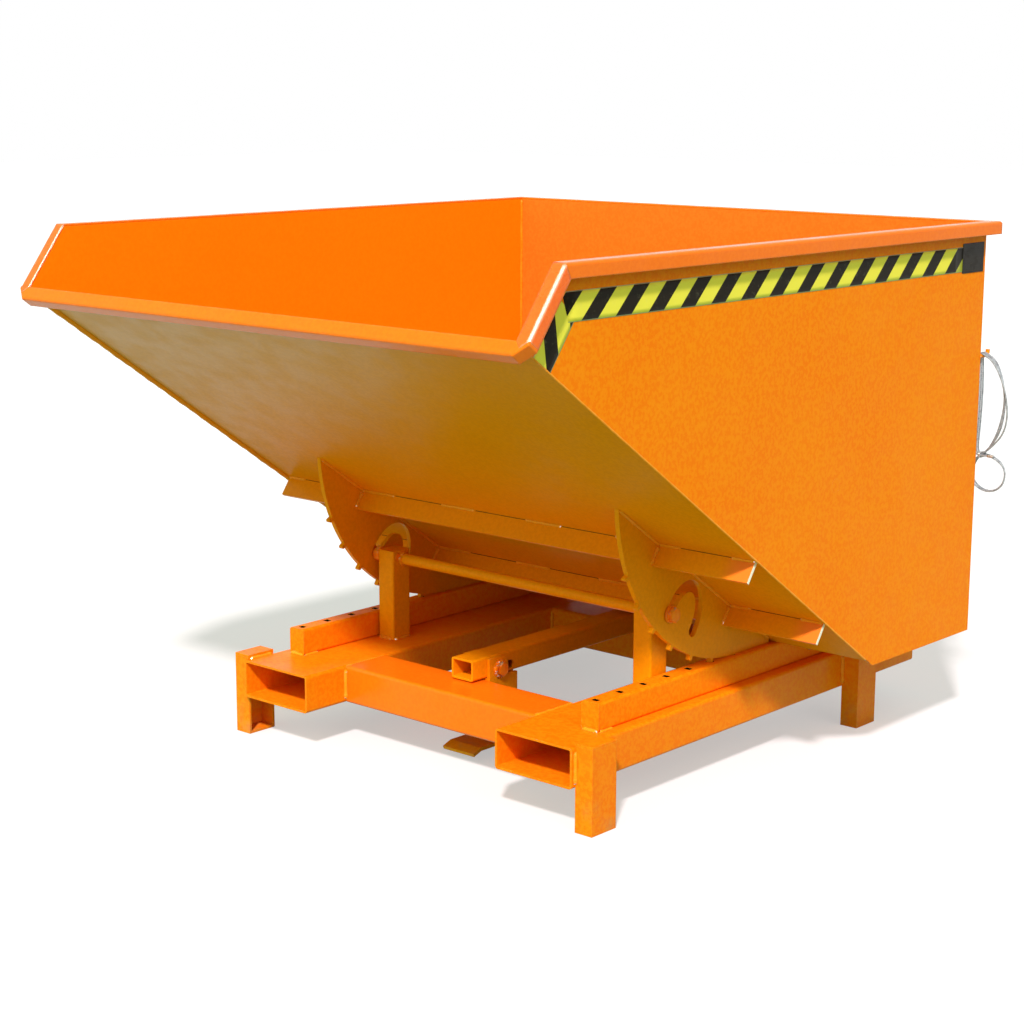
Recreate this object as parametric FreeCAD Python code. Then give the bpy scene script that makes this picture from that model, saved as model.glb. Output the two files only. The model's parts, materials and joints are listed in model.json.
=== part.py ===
import FreeCAD
import Part
import math
import os

# Tipping skip: a sheet steel hopper with toothed rocker plates that roll on slotted rails of a fork base.
# Millimetres, X across, -Y towards the tipping lip, +Z up. While a piece is made, Y counts back from the
# front end of the fork pockets. When it is saved it moves so that the origin is on the ground, below the
# middle of the whole skip.

Vec = FreeCAD.Vector
SIDES = ((-1, "left"), (1, "right"))

# Whole skip
overrun = 5.0
touch_gap = 0.3
running_gap = 0.05

# Fork pockets
pocket_length = 1357.0
pocket_width = 214.0
pocket_height = 90.0
pocket_wall = 5.0
pocket_corner = 8.0
pocket_spacing = 588.0
ground_clearance = 96.0

# Feet, upright channels closed by a plate below and above
foot_width = 46.0
foot_depth = 80.0
foot_sheet = 6.0
foot_plate_thick = 6.0
foot_rise = 9.0
front_foot_y = 12.0
rear_foot_y = 1028.0

# Cross tubes between the pockets
front_cross_y = 127.0
rear_cross_y = 880.0
cross_depth = 136.0
cross_wall = 5.0
cross_corner = 8.0

# Rails, rectangular tubes with tooth slots in the top
rail_y = 122.0
rail_length = 998.0
rail_width = 48.0
rail_height = 64.0
rail_wall = 5.0
rail_corner = 7.0
rail_inset = 28.0
rail_cap_thick = 3.0
rail_bolt_y = 918.0
rail_bolt_across = 17.0
rail_bolt_head = 7.0
rail_bolt_shank = 10.0

# Posts and the tie bar between them
post_y = 370.0
post_width = 52.0
post_depth = 60.0
post_height = 223.0
post_wall = 5.0
post_corner = 5.0
post_rail_gap = 6.0
post_cap_thick = 4.0
tie_bar_diameter = 27.0
tie_bar_y = 407.0
tie_bar_drop = 23.0

# Headed guide pins in the posts
pin_y = 388.0
pin_height = 143.0
pin_diameter = 20.0
pin_head_across = 30.0
pin_head_thick = 12.5
pin_nut_across = 34.0
pin_nut_thick = 18.0
bush_diameter = 24.0
slot_gap = 2.0
washer_diameter = 40.0
washer_thick = 4.0
rocker_side_gap = 2.5

# Rolling motion
roll_radius = 430.0
contact_y = 632.0
tip_angle = 65.0
rocker_thick = 12.0
rocker_tail = 144.0
slot_steps = 26

# Teeth on the rockers and slots in the rails
tooth_count = 7
tooth_pitch = 82.0
tooth_lag = 1.4
tooth_base = 10.0
tooth_tip = 8.0
tooth_height = 12.0
tooth_root = 3.0
tooth_round = 3.0
rail_slot_length = 15.0
rail_slot_width = 17.0

# Hopper
hopper_width = 1448.0
sheet = 5.0
floor_sheet = 8.0
wall_corner_y = 812.0
wall_drop = 14.0
rear_y = 1243.0
slope_angle = 34.55
rim_height = 1224.0
mouth_drop = 133.4
mouth_angle = 53.2
rim_width = 31.0
rim_drop = 30.0
rim_sheet = 5.0
rim_bend = 7.0
lip_cut = 26.0
lip_round = 4.0
plug_diameter = 30.0

# Stiffening bars under the slope, placed by their distance up it from the floor's front edge
bar_height = 50.0
bar_thick = 8.0
upper_bar_climb = 541.0
lower_bar_climb = 214.0
bar_end_gap = 4.0

# Hazard tape and the plain plate on the side walls
tape_drop = 53.0
tape_height = 57.5
tape_thick = 0.6
plate_width = 97.0
plate_height = 69.0
plate_thick = 1.2
plate_rear_gap = 10.0

# Sliding lock bar
lock_y = 215.0
lock_length = 845.0
lock_width = 66.0
lock_height = 50.0
lock_wall = 5.0
lock_corner = 6.0
lock_lift = 4.0
lock_travel = 45.0
lock_slot_gap = 0.5
tongue_width = 120.0
tongue_thick = 12.0
tongue_length = 50.0
tongue_rise = 24.0
strap_y = 900.0
strap_length = 40.0
strap_sheet = 5.5
lock_side_gap = 0.5

# Bracket and bolt that hold the lock bar's front end
ear_thick = 8.0
ear_length = 97.0
ear_front_length = 65.0
ear_drop = 76.0
ear_step = 3.0
ear_rise = 50.0
ear_corner = 24.0
saddle_length = 40.0
saddle_thick = 8.0
saddle_gap = 1.0
lock_bolt_y = 300.0
lock_bolt_rise = 17.0
lock_bolt_diameter = 20.0
lock_bolt_across = 30.0
lock_bolt_head = 12.5
lock_nut_thick = 16.0

# Keepers under the hopper floor, which the lock tongue slides over
keeper_offset = 42.0
keeper_width = 16.0
keeper_clear = 12.0
keeper_toe = 40.0
keeper_toe_thick = 10.0
keeper_leg = 8.0
keeper_gap = 6.0

# Bump plate under the lock bar
bump_width = 96.0
bump_stem_width = 58.0
bump_sheet = 8.0
bump_height = 26.0
bump_stem_y = 352.0
bump_bend_y = 228.0
bump_lip_reach = 25.0
bump_lip_drop = 9.0

# Cable hank and its hook
cable_diameter = 4.5
cable_pitch = 9.6
cable_wall_gap = 4.5
hook_diameter = 10.0
hook_inset = 6.0
hook_drop = 319.0
hook_reach = 34.0
hook_bend = 10.0
hook_rise = 3.0
hook_leave_angle = 30.0
loop_count = 3
loop_shrink_share = 0.92
waist_shift = 12.0
waist_drop = 237.0
waist_angle = 34.0
upper_left_rise = 22.0
upper_bulge = 65.0
upper_bulge_drop = 140.0
lower_left = 25.0
lower_bulge = 64.0
lower_bulge_drop = 46.0
bottom_shift = 22.0
bottom_drop = 86.5
cable_end = 38.0
band_height = 8.0
band_sheet = 1.5
ferrule_diameter = 8.0
ferrule_length = 18.0

# Places worked out from the sizes above
pocket_inner = pocket_spacing / 2
pocket_outer = pocket_inner + pocket_width
deck = ground_clearance + pocket_height
rail_centre = pocket_outer - rail_inset - rail_width / 2
rail_top = deck + rail_height
rocker_in = rail_centre - rocker_thick / 2
rocker_out = rail_centre + rocker_thick / 2
post_outer = rail_centre - rail_width / 2 - post_rail_gap
post_inner = post_outer - post_width
post_top = deck + post_height
pin_z = rail_top + pin_height
roll_z = rail_top + roll_radius
floor_z = rail_top + touch_gap
wall_low = floor_z - wall_drop
wall_outer = hopper_width / 2
wall_inner = wall_outer - sheet
lock_low = deck + lock_lift
lock_top = lock_low + lock_height
lock_rear = lock_y + lock_length
hook_x = wall_outer - hook_inset
hook_z = rim_height - hook_drop
waist_x = hook_x + waist_shift
waist_z = hook_z - waist_drop


def pair(side, near, far):
    """Low and high X of a stretch between two distances from the middle."""
    return tuple(sorted((side * near, side * far)))


def about(middle, half):
    """Low and high ends of a stretch about a middle."""
    return (middle - half, middle + half)


def grown(span, amount):
    """A stretch made longer by an amount at both ends."""
    return (span[0] - amount, span[1] + amount)


def after(start, length):
    """A stretch given by its start and length."""
    return (start, start + length)


def block(x, y, z):
    """A box between low and high values on each axis."""
    return Part.makeBox(x[1] - x[0], y[1] - y[0], z[1] - z[0], Vec(x[0], y[0], z[0]))


def rounded_block(spans, axis, radius):
    """A box whose edges along one axis are rounded."""
    solid = block(*spans)
    ends = [(edge, edge.Vertexes[0].Point, edge.Vertexes[1].Point) for edge in solid.Edges]
    lengthwise = [edge for edge, start, end in ends if abs(getattr(start - end, axis)) > running_gap]
    return solid.makeFillet(radius, lengthwise)


def square_tube(spans, axis, wall, corner):
    """A rectangular tube along one axis, open at both ends."""
    bore = [grown(span, overrun if letter == axis else -wall) for letter, span in zip("xyz", spans)]
    outer = rounded_block(spans, axis, corner)
    if corner > wall:
        return outer.cut(rounded_block(bore, axis, corner - wall))
    return outer.cut(block(*bore))


def rod_x(diameter, x, y, z):
    """A round bar along X."""
    return Part.makeCylinder(diameter / 2, x[1] - x[0], Vec(x[0], y, z), Vec(1, 0, 0))


def bored_x(shape, diameter, x, y, z):
    """A shape with a round hole along X."""
    return shape.cut(rod_x(diameter, grown(x, overrun), y, z))


def hexagon_x(across, x, y, z):
    """A hexagonal head along X, standing on a point."""
    corner = across / math.sqrt(3)
    turns = [math.pi * (step / 3 + 1 / 2) for step in range(7)]
    points = [Vec(x[0], y + corner * math.cos(turn), z + corner * math.sin(turn)) for turn in turns]
    return Part.Face(Part.makePolygon(points)).extrude(Vec(x[1] - x[0], 0, 0))


def plate_x(outline, x):
    """A flat plate: an outline of (y, z) points carried along X."""
    points = [Vec(x[0], y, z) for y, z in outline]
    return Part.Face(Part.makePolygon(points + points[:1])).extrude(Vec(x[1] - x[0], 0, 0))


def edges_at(shape, y, z):
    """The edges along X at one place in the side view."""
    near = running_gap
    return [e for e in shape.Edges if all(abs(v.Y - y) < near and abs(v.Z - z) < near for v in e.Vertexes)]


def crossing(line_a, line_b):
    """The (y, z) point where two lines meet, each given by a point and a direction."""
    (ay, az), (au, av) = line_a
    (by, bz), (bu, bv) = line_b
    share = ((by - ay) * bv - (bz - az) * bu) / (au * bv - av * bu)
    return (ay + share * au, az + share * av)


def shifted(line, distance):
    """A line moved to the left of its direction: out of the hopper below, into it at the mouth and top."""
    (y, z), (u, v) = line
    return ((y - v * distance, z + u * distance), (u, v))


def along(line, distance):
    """The point at a distance along a line."""
    (y, z), (u, v) = line
    return (y + u * distance, z + v * distance)


# Lines of the hopper's side view, each a point and a direction
slope_run = (-math.cos(math.radians(slope_angle)), math.sin(math.radians(slope_angle)))
mouth_run = (-math.cos(math.radians(mouth_angle)), -math.sin(math.radians(mouth_angle)))
floor_line = ((wall_corner_y, floor_z), (-1, 0))
low_line = ((wall_corner_y, wall_low), (-1, 0))
slope_from = crossing(((wall_corner_y, wall_low), slope_run), floor_line)
slope_line = (slope_from, slope_run)
slope_inside = shifted(slope_line, -sheet)
lip_spine = crossing(slope_inside, ((rear_y, rim_height - mouth_drop), (-1, 0)))
mouth_y = lip_spine[0] + mouth_drop / math.tan(math.radians(mouth_angle))
mouth_line = ((mouth_y, rim_height), mouth_run)
top_line = ((mouth_y, rim_height), (-1, 0))
rear_line = ((rear_y, floor_z), (0, 1))
mouth_under = shifted(mouth_line, rim_sheet)
top_under = shifted(top_line, rim_sheet)
mouth_up = (mouth_run[1], -mouth_run[0])
lip_edge = lip_spine[0] + (rim_width - rim_bend) * mouth_run[0] - rim_bend * mouth_up[0] - rim_bend
origin_shift = -(lip_edge + pocket_length) / 2


def save(name, *solids):
    """Write one named piece, or a group of like pieces, in the skip's own frame."""
    shape = solids[0] if len(solids) == 1 else Part.makeCompound(list(solids))
    shape.translate(Vec(0, origin_shift, 0))
    shape.exportStep("parts/" + name + ".step")


def make_base():
    """Fork pockets, cross tubes and feet."""
    level = (ground_clearance, deck)
    between = (-pocket_inner, pocket_inner)
    foot_top = deck + foot_rise
    foot_z = (foot_plate_thick, foot_top - foot_plate_thick)
    plates = []
    for side, word in SIDES:
        pocket_x = pair(side, pocket_inner, pocket_outer)
        pocket = square_tube((pocket_x, (0, pocket_length), level), "y", pocket_wall, pocket_corner)
        save("fork_pocket_" + word, pocket)
        foot_x = pair(side, pocket_outer, pocket_outer + foot_width)
        hollow_x = pair(side, pocket_outer - overrun, pocket_outer + foot_width - foot_sheet)
        for place, start in (("front", front_foot_y), ("rear", rear_foot_y)):
            foot_y = after(start, foot_depth)
            hollow = block(hollow_x, grown(foot_y, -foot_sheet), grown(foot_z, overrun))
            save("foot_" + place + "_" + word, block(foot_x, foot_y, foot_z).cut(hollow))
            plates.append(block(foot_x, foot_y, (0, foot_plate_thick)))
            plates.append(block(foot_x, foot_y, (foot_z[1], foot_top)))
    save("foot_plates", *plates)
    for name, start in (("front_cross_tube", front_cross_y), ("rear_cross_tube", rear_cross_y)):
        save(name, square_tube((between, after(start, cross_depth), level), "x", cross_wall, cross_corner))


def make_rails():
    """Slotted rails with their end caps and side bolts."""
    whole_y = after(rail_y, rail_length)
    tube_y = grown(whole_y, -rail_cap_thick)
    rail_z = (deck, rail_top)
    bolt_z = deck + rail_height / 2
    rail_side = rail_centre + rail_width / 2
    caps = []
    bolts = []
    for side, word in SIDES:
        rail_x = pair(side, rail_side - rail_width, rail_side)
        slot_x = pair(side, rail_centre - rail_slot_width / 2, rail_centre + rail_slot_width / 2)
        rail = square_tube((rail_x, tube_y, rail_z), "y", rail_wall, rail_corner)
        for number in range(tooth_count):
            slot_y = about(contact_y + tooth_lag - number * tooth_pitch, rail_slot_length / 2)
            rail = rail.cut(block(slot_x, slot_y, (rail_top - rail_wall - overrun, rail_top + overrun)))
        shank_x = pair(side, rail_side - rail_wall, rail_side)
        head_x = pair(side, rail_side, rail_side + rail_bolt_head)
        shank = rod_x(rail_bolt_shank, shank_x, rail_bolt_y, bolt_z)
        bolts.append(shank.fuse(hexagon_x(rail_bolt_across, head_x, rail_bolt_y, bolt_z)))
        save("rail_" + word, bored_x(rail, rail_bolt_shank, shank_x, rail_bolt_y, bolt_z))
        for cap_y in ((whole_y[0], tube_y[0]), (tube_y[1], whole_y[1])):
            caps.append(rounded_block((rail_x, cap_y, rail_z), "y", rail_corner))
    save("rail_caps", *caps)
    save("rail_bolts", *bolts)


def make_posts():
    """Posts with caps, the tie bar, and the headed guide pins with nut, bush and washer."""
    whole_y = after(post_y, post_depth)
    tube_z = (deck, post_top - post_cap_thick)
    nut_reach = post_outer + pin_nut_thick
    bush_reach = rocker_out + rocker_side_gap
    washer_reach = bush_reach + washer_thick
    head_reach = washer_reach + pin_head_thick
    caps, nuts, bushes, washers = [], [], [], []
    for side, word in SIDES:
        post_x = pair(side, post_inner, post_outer)
        post = square_tube((post_x, whole_y, tube_z), "z", post_wall, post_corner)
        save("post_" + word, bored_x(post, pin_diameter, post_x, pin_y, pin_z))
        caps.append(rounded_block((post_x, whole_y, (tube_z[1], post_top)), "z", post_corner))
        shank = rod_x(pin_diameter, pair(side, post_inner, washer_reach), pin_y, pin_z)
        head = hexagon_x(pin_head_across, pair(side, washer_reach, head_reach), pin_y, pin_z)
        save("guide_pin_" + word, shank.fuse(head))
        nut_x = pair(side, post_outer, nut_reach)
        bush_x = pair(side, nut_reach, bush_reach)
        washer_x = pair(side, bush_reach, washer_reach)
        nut = hexagon_x(pin_nut_across, nut_x, pin_y, pin_z)
        bush = rod_x(bush_diameter, bush_x, pin_y, pin_z)
        washer = rod_x(washer_diameter, washer_x, pin_y, pin_z)
        nuts.append(bored_x(nut, pin_diameter, nut_x, pin_y, pin_z))
        bushes.append(bored_x(bush, pin_diameter, bush_x, pin_y, pin_z))
        washers.append(bored_x(washer, pin_diameter, washer_x, pin_y, pin_z))
    save("post_caps", *caps)
    save("guide_nuts", *nuts)
    save("guide_bushes", *bushes)
    save("guide_washers", *washers)
    save("tie_bar", rod_x(tie_bar_diameter, (-post_inner, post_inner), tie_bar_y, post_top - tie_bar_drop))


def make_lock():
    """Sliding lock bar with its tongue, and the bracket, bolt and strap that guide it."""
    bar_x = about(0, lock_width / 2)
    bar_z = (lock_low, lock_top)
    bolt_z = lock_low + lock_bolt_rise
    ear_in = lock_width / 2 + lock_side_gap
    ear_out = ear_in + ear_thick
    slot_half = lock_bolt_diameter / 2 + lock_slot_gap
    slot_y = grown(after(lock_bolt_y, lock_travel), slot_half)
    slot_spans = (grown(bar_x, overrun), slot_y, about(bolt_z, slot_half))
    slot = rounded_block(slot_spans, "x", slot_half - running_gap)
    bar = square_tube((bar_x, (lock_y, lock_rear), bar_z), "y", lock_wall, lock_corner)
    save("lock_bar", bar.cut(slot))
    tongue_z = after(lock_low + tongue_rise, tongue_thick)
    save("lock_tongue", block(about(0, tongue_width / 2), after(lock_rear, tongue_length), tongue_z))

    ear_y = front_cross_y + cross_depth
    front_y = ear_y + ear_front_length
    step_z = deck + ear_step
    ear_low, ear_top = deck - ear_drop, deck + ear_rise
    ear_outline = [
        (ear_y, ear_low),
        (ear_y + ear_length, ear_low),
        (ear_y + ear_length, step_z),
        (front_y, step_z),
        (front_y, ear_top),
        (ear_y, ear_top),
    ]
    ears = []
    for side, _ in SIDES:
        ear_x = pair(side, ear_in, ear_out)
        ear = plate_x(ear_outline, ear_x)
        ear = ear.makeFillet(ear_corner, edges_at(ear, front_y, ear_top))
        ears.append(bored_x(ear, lock_bolt_diameter, ear_x, lock_bolt_y, bolt_z))
    save("lock_ears", *ears)
    saddle_top = lock_low - saddle_gap
    saddle_z = (saddle_top - saddle_thick, saddle_top)
    save("lock_saddle", block((-ear_in, ear_in), after(ear_y, saddle_length), saddle_z))
    nut_x = (-ear_out - lock_nut_thick, -ear_out)
    shank = rod_x(lock_bolt_diameter, (nut_x[0], ear_out), lock_bolt_y, bolt_z)
    head = hexagon_x(lock_bolt_across, after(ear_out, lock_bolt_head), lock_bolt_y, bolt_z)
    save("lock_bolt", shank.fuse(head))
    nut = hexagon_x(lock_bolt_across, nut_x, lock_bolt_y, bolt_z)
    save("lock_nut", bored_x(nut, lock_bolt_diameter, nut_x, lock_bolt_y, bolt_z))

    inside_x = grown(bar_x, lock_side_gap)
    strap_top = lock_top + lock_side_gap
    whole_y = after(strap_y, strap_length)
    strap = block(grown(inside_x, strap_sheet), whole_y, (deck, strap_top + strap_sheet))
    save("lock_strap", strap.cut(block(inside_x, grown(whole_y, overrun), (deck - overrun, strap_top))))
    make_keepers(tongue_z[0])
    make_bump_plate()


def make_keepers(tongue_low):
    """L shaped keepers on the hopper floor, whose toes lie just ahead of and below the lock tongue."""
    toe_rear = lock_rear - keeper_clear
    toe_front = toe_rear - keeper_toe
    toe_z = (tongue_low - keeper_gap - keeper_toe_thick, tongue_low - keeper_gap)
    keepers = []
    for side, _ in SIDES:
        keeper_x = pair(side, keeper_offset, keeper_offset + keeper_width)
        leg = block(keeper_x, (toe_front - keeper_leg, toe_front), (toe_z[0], floor_z))
        keepers.append(leg.fuse(block(keeper_x, (toe_front, toe_rear), toe_z)).removeSplitter())
    save("lock_keepers", *keepers)


def make_bump_plate():
    """Stem below the lock bar and the flat plate at its foot, with a lip bent down at the front."""
    stem_y = after(bump_stem_y, bump_sheet)
    low, high = after(bump_height, bump_sheet)
    tilt = math.atan2(bump_lip_drop, bump_lip_reach)
    tip = (bump_bend_y - bump_lip_reach, low - bump_lip_drop)
    tip_top = (tip[0] - bump_sheet * math.sin(tilt), tip[1] + bump_sheet * math.cos(tilt))
    bend_top = (bump_bend_y - bump_sheet * math.tan(tilt / 2), high)
    outline = [(stem_y[1], low), (stem_y[1], high), bend_top, tip_top, tip, (bump_bend_y, low)]
    flat = plate_x(outline, about(0, bump_width / 2))
    stem = block(about(0, bump_stem_width / 2), stem_y, (high, lock_low))
    save("bump_plate", flat.fuse(stem).removeSplitter())


def make_hopper_walls():
    """Side walls, slope, floor and rear wall, and the plugs on the roll axis."""
    wall_outline = [
        crossing(low_line, rear_line),
        crossing(top_under, rear_line),
        crossing(top_under, mouth_under),
        crossing(mouth_under, slope_line),
        crossing(slope_line, low_line),
    ]
    plugs = []
    for side, word in SIDES:
        wall_x = pair(side, wall_inner, wall_outer)
        wall = plate_x(wall_outline, wall_x)
        save("side_wall_" + word, bored_x(wall, plug_diameter + 2 * running_gap, wall_x, contact_y, roll_z))
        plugs.append(rod_x(plug_diameter, wall_x, contact_y, roll_z))
    save("roll_plugs", *plugs)
    inside = (-wall_inner, wall_inner)
    inner_rear = rear_y - sheet
    bend_high = crossing(slope_inside, shifted(floor_line, -floor_sheet))
    slope_end = [crossing(slope_line, mouth_under), crossing(slope_inside, mouth_under)]
    save("slope_plate", plate_x([slope_from] + slope_end + [bend_high], inside))
    floor_end = [(inner_rear, floor_z + floor_sheet), (inner_rear, floor_z)]
    save("floor_plate", plate_x([slope_from, bend_high] + floor_end, inside))
    save("rear_wall", block(inside, (inner_rear, rear_y), (floor_z, rim_height - rim_sheet)))


def make_rim():
    """Folded angle round the mouth, in mitred lengths."""
    rear = rear_y - sheet
    level_up = Vec(0, 0, 1)
    slant_up = Vec(0, mouth_up[0], mouth_up[1])
    corners = [
        Vec(-wall_inner, rear, rim_height),
        Vec(wall_inner, rear, rim_height),
        Vec(wall_inner, mouth_y, rim_height),
        Vec(wall_inner, lip_spine[0], lip_spine[1]),
        Vec(-wall_inner, lip_spine[0], lip_spine[1]),
        Vec(-wall_inner, mouth_y, rim_height),
    ]
    lengths = (
        ("rim_rear", level_up),
        ("rim_right", level_up),
        ("rim_slant_right", slant_up),
        ("rim_lip", slant_up),
        ("rim_slant_left", slant_up),
        ("rim_left", level_up),
    )
    count = len(corners)
    runs = [(corners[(number + 1) % count] - corners[number]).normalize() for number in range(count)]
    lip_plates = {number: lip_corner(corners[number], side, slant_up) for number, side in ((3, 1), (4, -1))}
    for number, (name, normal) in enumerate(lengths):
        start, end = corners[number], corners[(number + 1) % count]
        bar = rim_bar(start, end, runs[number], normal)
        bar = trimmed(bar, start, (runs[number - 1] + runs[number]) * -1)
        bar = trimmed(bar, end, runs[number] + runs[(number + 1) % count])
        for place in (number, number + 1):
            if place in lip_plates:
                bar = trimmed(bar, *lip_plates[place][1:])
        if name == "rim_lip":
            bar = bar.fuse([plate for plate, _, _ in lip_plates.values()]).removeSplitter()
        save(name, bar)


def lip_corner(corner, side, normal):
    """The plate across a cut lip corner, with a point and the direction of the plane behind it."""
    out, down = Vec(side, 0, 0), Vec(0, mouth_run[0], mouth_run[1])

    def at(across, below):
        return corner + out * across + down * below

    back = rim_width - lip_cut
    behind = back - rim_sheet * math.sqrt(2)
    outline = [at(behind, rim_width), at(back, rim_width), at(rim_width, back), at(rim_width, behind)]
    plate = Part.Face(Part.makePolygon(outline + outline[:1])).extrude(normal * -rim_drop)
    middles = [(start + end) / 2 for start, end in zip(outline, outline[1:])]
    edges = [edge for edge in plate.Edges
             if any((edge.CenterOfMass - middle).Length < running_gap for middle in middles)]
    return (plate.makeFillet(lip_round, edges), outline[3], out + down)


def rim_bar(start, end, run, normal):
    """One length of the rim's folded section, longer than needed at both ends."""
    out = normal.cross(run)
    extra = 2 * rim_width
    foot = start - run * extra
    turn = rim_bend * (1 - math.sqrt(1 / 2))

    def at(across, above):
        return foot + out * across + normal * above

    bend_start, bend_end = at(rim_width - rim_bend, 0), at(rim_width, -rim_bend)
    bend = Part.Arc(bend_start, at(rim_width - turn, -turn), bend_end).toShape()
    points = [
        bend_end,
        at(rim_width, -rim_drop),
        at(rim_width - rim_sheet, -rim_drop),
        at(rim_width - rim_sheet, -rim_sheet),
        at(0, -rim_sheet),
        at(0, 0),
        bend_start,
    ]
    section = Part.Face(Part.Wire([bend] + Part.makePolygon(points).Edges))
    return section.extrude(run * ((end - start).Length + 2 * extra))


def trimmed(shape, point, normal):
    """A shape without what lies past a plane."""
    size = 8 * rim_width
    past = Part.makeBox(size, size, size, Vec(-size / 2, -size / 2, 0))
    past.Placement = FreeCAD.Placement(point, FreeCAD.Rotation(Vec(0, 0, 1), normal))
    return shape.cut(past)


def guide_place(angle):
    """Place of the fixed guide pin in the hopper's own frame after it has rolled through an angle."""
    ahead = pin_y - contact_y + roll_radius * angle
    above = pin_z - roll_z
    y = contact_y + ahead * math.cos(angle) + above * math.sin(angle)
    z = roll_z - ahead * math.sin(angle) + above * math.cos(angle)
    return (y, z)


def guide_slot(x):
    """The rocker's guide slot: the pin's path, widened to the bush and its clearance."""
    radius = bush_diameter / 2 + slot_gap
    angles = [math.radians(tip_angle) * step / slot_steps for step in range(slot_steps + 1)]
    places = [Vec(x[0], *guide_place(angle)) for angle in angles]
    last = len(places) - 1
    runs = [(places[min(n + 1, last)] - places[max(n - 1, 0)]).normalize() for n in range(last + 1)]
    sides = [Vec(0, -run.z, run.y) * radius for run in runs]
    edges = []
    for way in (1, -1):
        curve = Part.BSplineCurve()
        curve.interpolate([place + side * way for place, side in zip(places, sides)])
        edges.append(curve.toShape())
    for number, way in ((0, -1), (last, 1)):
        place, side = places[number], sides[number]
        edges.append(Part.Arc(place + side, place + runs[number] * (radius * way), place - side).toShape())
    return Part.Face(Part.Wire(Part.__sortEdges__(edges))).extrude(Vec(x[1] - x[0], 0, 0))


def make_tooth(x, number):
    """One tooth at its place along the rolling edge. The first stands behind the resting contact."""
    distance = number * tooth_pitch - tooth_lag
    root, tip = floor_z + tooth_root, floor_z - tooth_height
    half_base, half_tip = tooth_base / 2, tooth_tip / 2
    outline = [
        (contact_y - half_base, root),
        (contact_y + half_base, root),
        (contact_y + half_tip, tip),
        (contact_y - half_tip, tip),
    ]
    tooth = plate_x(outline, x)
    ends = edges_at(tooth, *outline[2]) + edges_at(tooth, *outline[3])
    tooth = tooth.makeFillet(tooth_round, ends)
    if distance < 0:
        tooth.translate(Vec(0, -distance, 0))
    else:
        tooth.rotate(Vec(0, contact_y, roll_z), Vec(1, 0, 0), -math.degrees(distance / roll_radius))
    return tooth


def make_rockers():
    """Rocker plates: a rolling arc, a flat tail on the rail, teeth and the guide slot."""
    radius = roll_radius - touch_gap
    off_y, off_z = slope_from[0] - contact_y, slope_from[1] - roll_z
    lean = off_y * slope_run[0] + off_z * slope_run[1]
    climb = math.sqrt(lean ** 2 - off_y ** 2 - off_z ** 2 + radius ** 2) - lean
    tip = along(slope_line, climb)
    half_turn = math.atan2(contact_y - tip[0], roll_z - tip[1]) / 2
    middle = (contact_y - radius * math.sin(half_turn), roll_z - radius * math.cos(half_turn))
    rest = (contact_y, floor_z)
    tail_y = contact_y + rocker_tail
    tail_top = crossing(slope_line, ((tail_y, floor_z), (0, 1)))
    tail = [rest, (tail_y, floor_z), tail_top, tip]
    for side, word in SIDES:
        x = pair(side, rocker_in, rocker_out)
        arc = Part.Arc(*[Vec(x[0], y, z) for y, z in (tip, middle, rest)]).toShape()
        straight = Part.makePolygon([Vec(x[0], y, z) for y, z in tail])
        rocker = Part.Face(Part.Wire([arc] + straight.Edges)).extrude(Vec(x[1] - x[0], 0, 0))
        rocker = rocker.fuse([make_tooth(x, number) for number in range(tooth_count)]).removeSplitter()
        save("rocker_" + word, rocker.cut(guide_slot(grown(x, overrun))))


def make_stiffeners():
    """Flat bars standing on the underside of the slope, in three lengths between walls and rockers."""
    outer = wall_inner - bar_end_gap
    lengths = (
        ("left", (-outer, -rocker_out)),
        ("middle", (-rocker_in, rocker_in)),
        ("right", (rocker_out, outer)),
    )
    edge_line = shifted(slope_line, bar_height)
    for level, climb in (("upper", upper_bar_climb), ("lower", lower_bar_climb)):
        ends = (climb, climb - bar_thick)
        outline = [along(slope_line, end) for end in ends] + [along(edge_line, end) for end in reversed(ends)]
        for word, span in lengths:
            save("stiffener_" + level + "_" + word, plate_x(outline, span))


def make_tape():
    """Hazard tape along the rim and down the slanted edge, and the plain plate behind it."""
    top_edge = shifted(top_line, tape_drop)
    low_edge = shifted(top_line, tape_drop + tape_height)
    front_edge = shifted(mouth_line, tape_drop)
    back_edge = shifted(mouth_line, tape_drop + tape_height)
    cut_edge = shifted(slope_line, -touch_gap)
    plate_y = (rear_y - plate_rear_gap - plate_width, rear_y - plate_rear_gap)
    for side, word in SIDES:
        end = plate_y[0] if side > 0 else plate_y[1]
        outline = [
            (end, top_edge[0][1]),
            crossing(top_edge, front_edge),
            crossing(front_edge, cut_edge),
            crossing(back_edge, cut_edge),
            crossing(low_edge, back_edge),
            (end, low_edge[0][1]),
        ]
        save("hazard_tape_" + word, plate_x(outline, pair(side, wall_outer, wall_outer + tape_thick)))
    plate_z = about((top_edge[0][1] + low_edge[0][1]) / 2, plate_height / 2)
    save("plain_plate", block(after(wall_outer, plate_thick), plate_y, plate_z))


def make_hook():
    """Round hook on the rear wall, turned up at its end."""
    start = Vec(hook_x, rear_y, hook_z)
    bend_start = start + Vec(0, hook_reach, 0)
    bend_end = bend_start + Vec(0, hook_bend, hook_bend)
    half = math.sqrt(1 / 2)
    middle = bend_start + Vec(0, hook_bend * half, hook_bend * (1 - half))
    path = Part.Wire([
        Part.LineSegment(start, bend_start).toShape(),
        Part.Arc(bend_start, middle, bend_end).toShape(),
        Part.LineSegment(bend_end, bend_end + Vec(0, 0, hook_rise)).toShape(),
    ])
    section = Part.Wire(Part.makeCircle(hook_diameter / 2, start, Vec(0, 1, 0)))
    save("cable_hook", path.makePipeShell([section], True, False))


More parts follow.
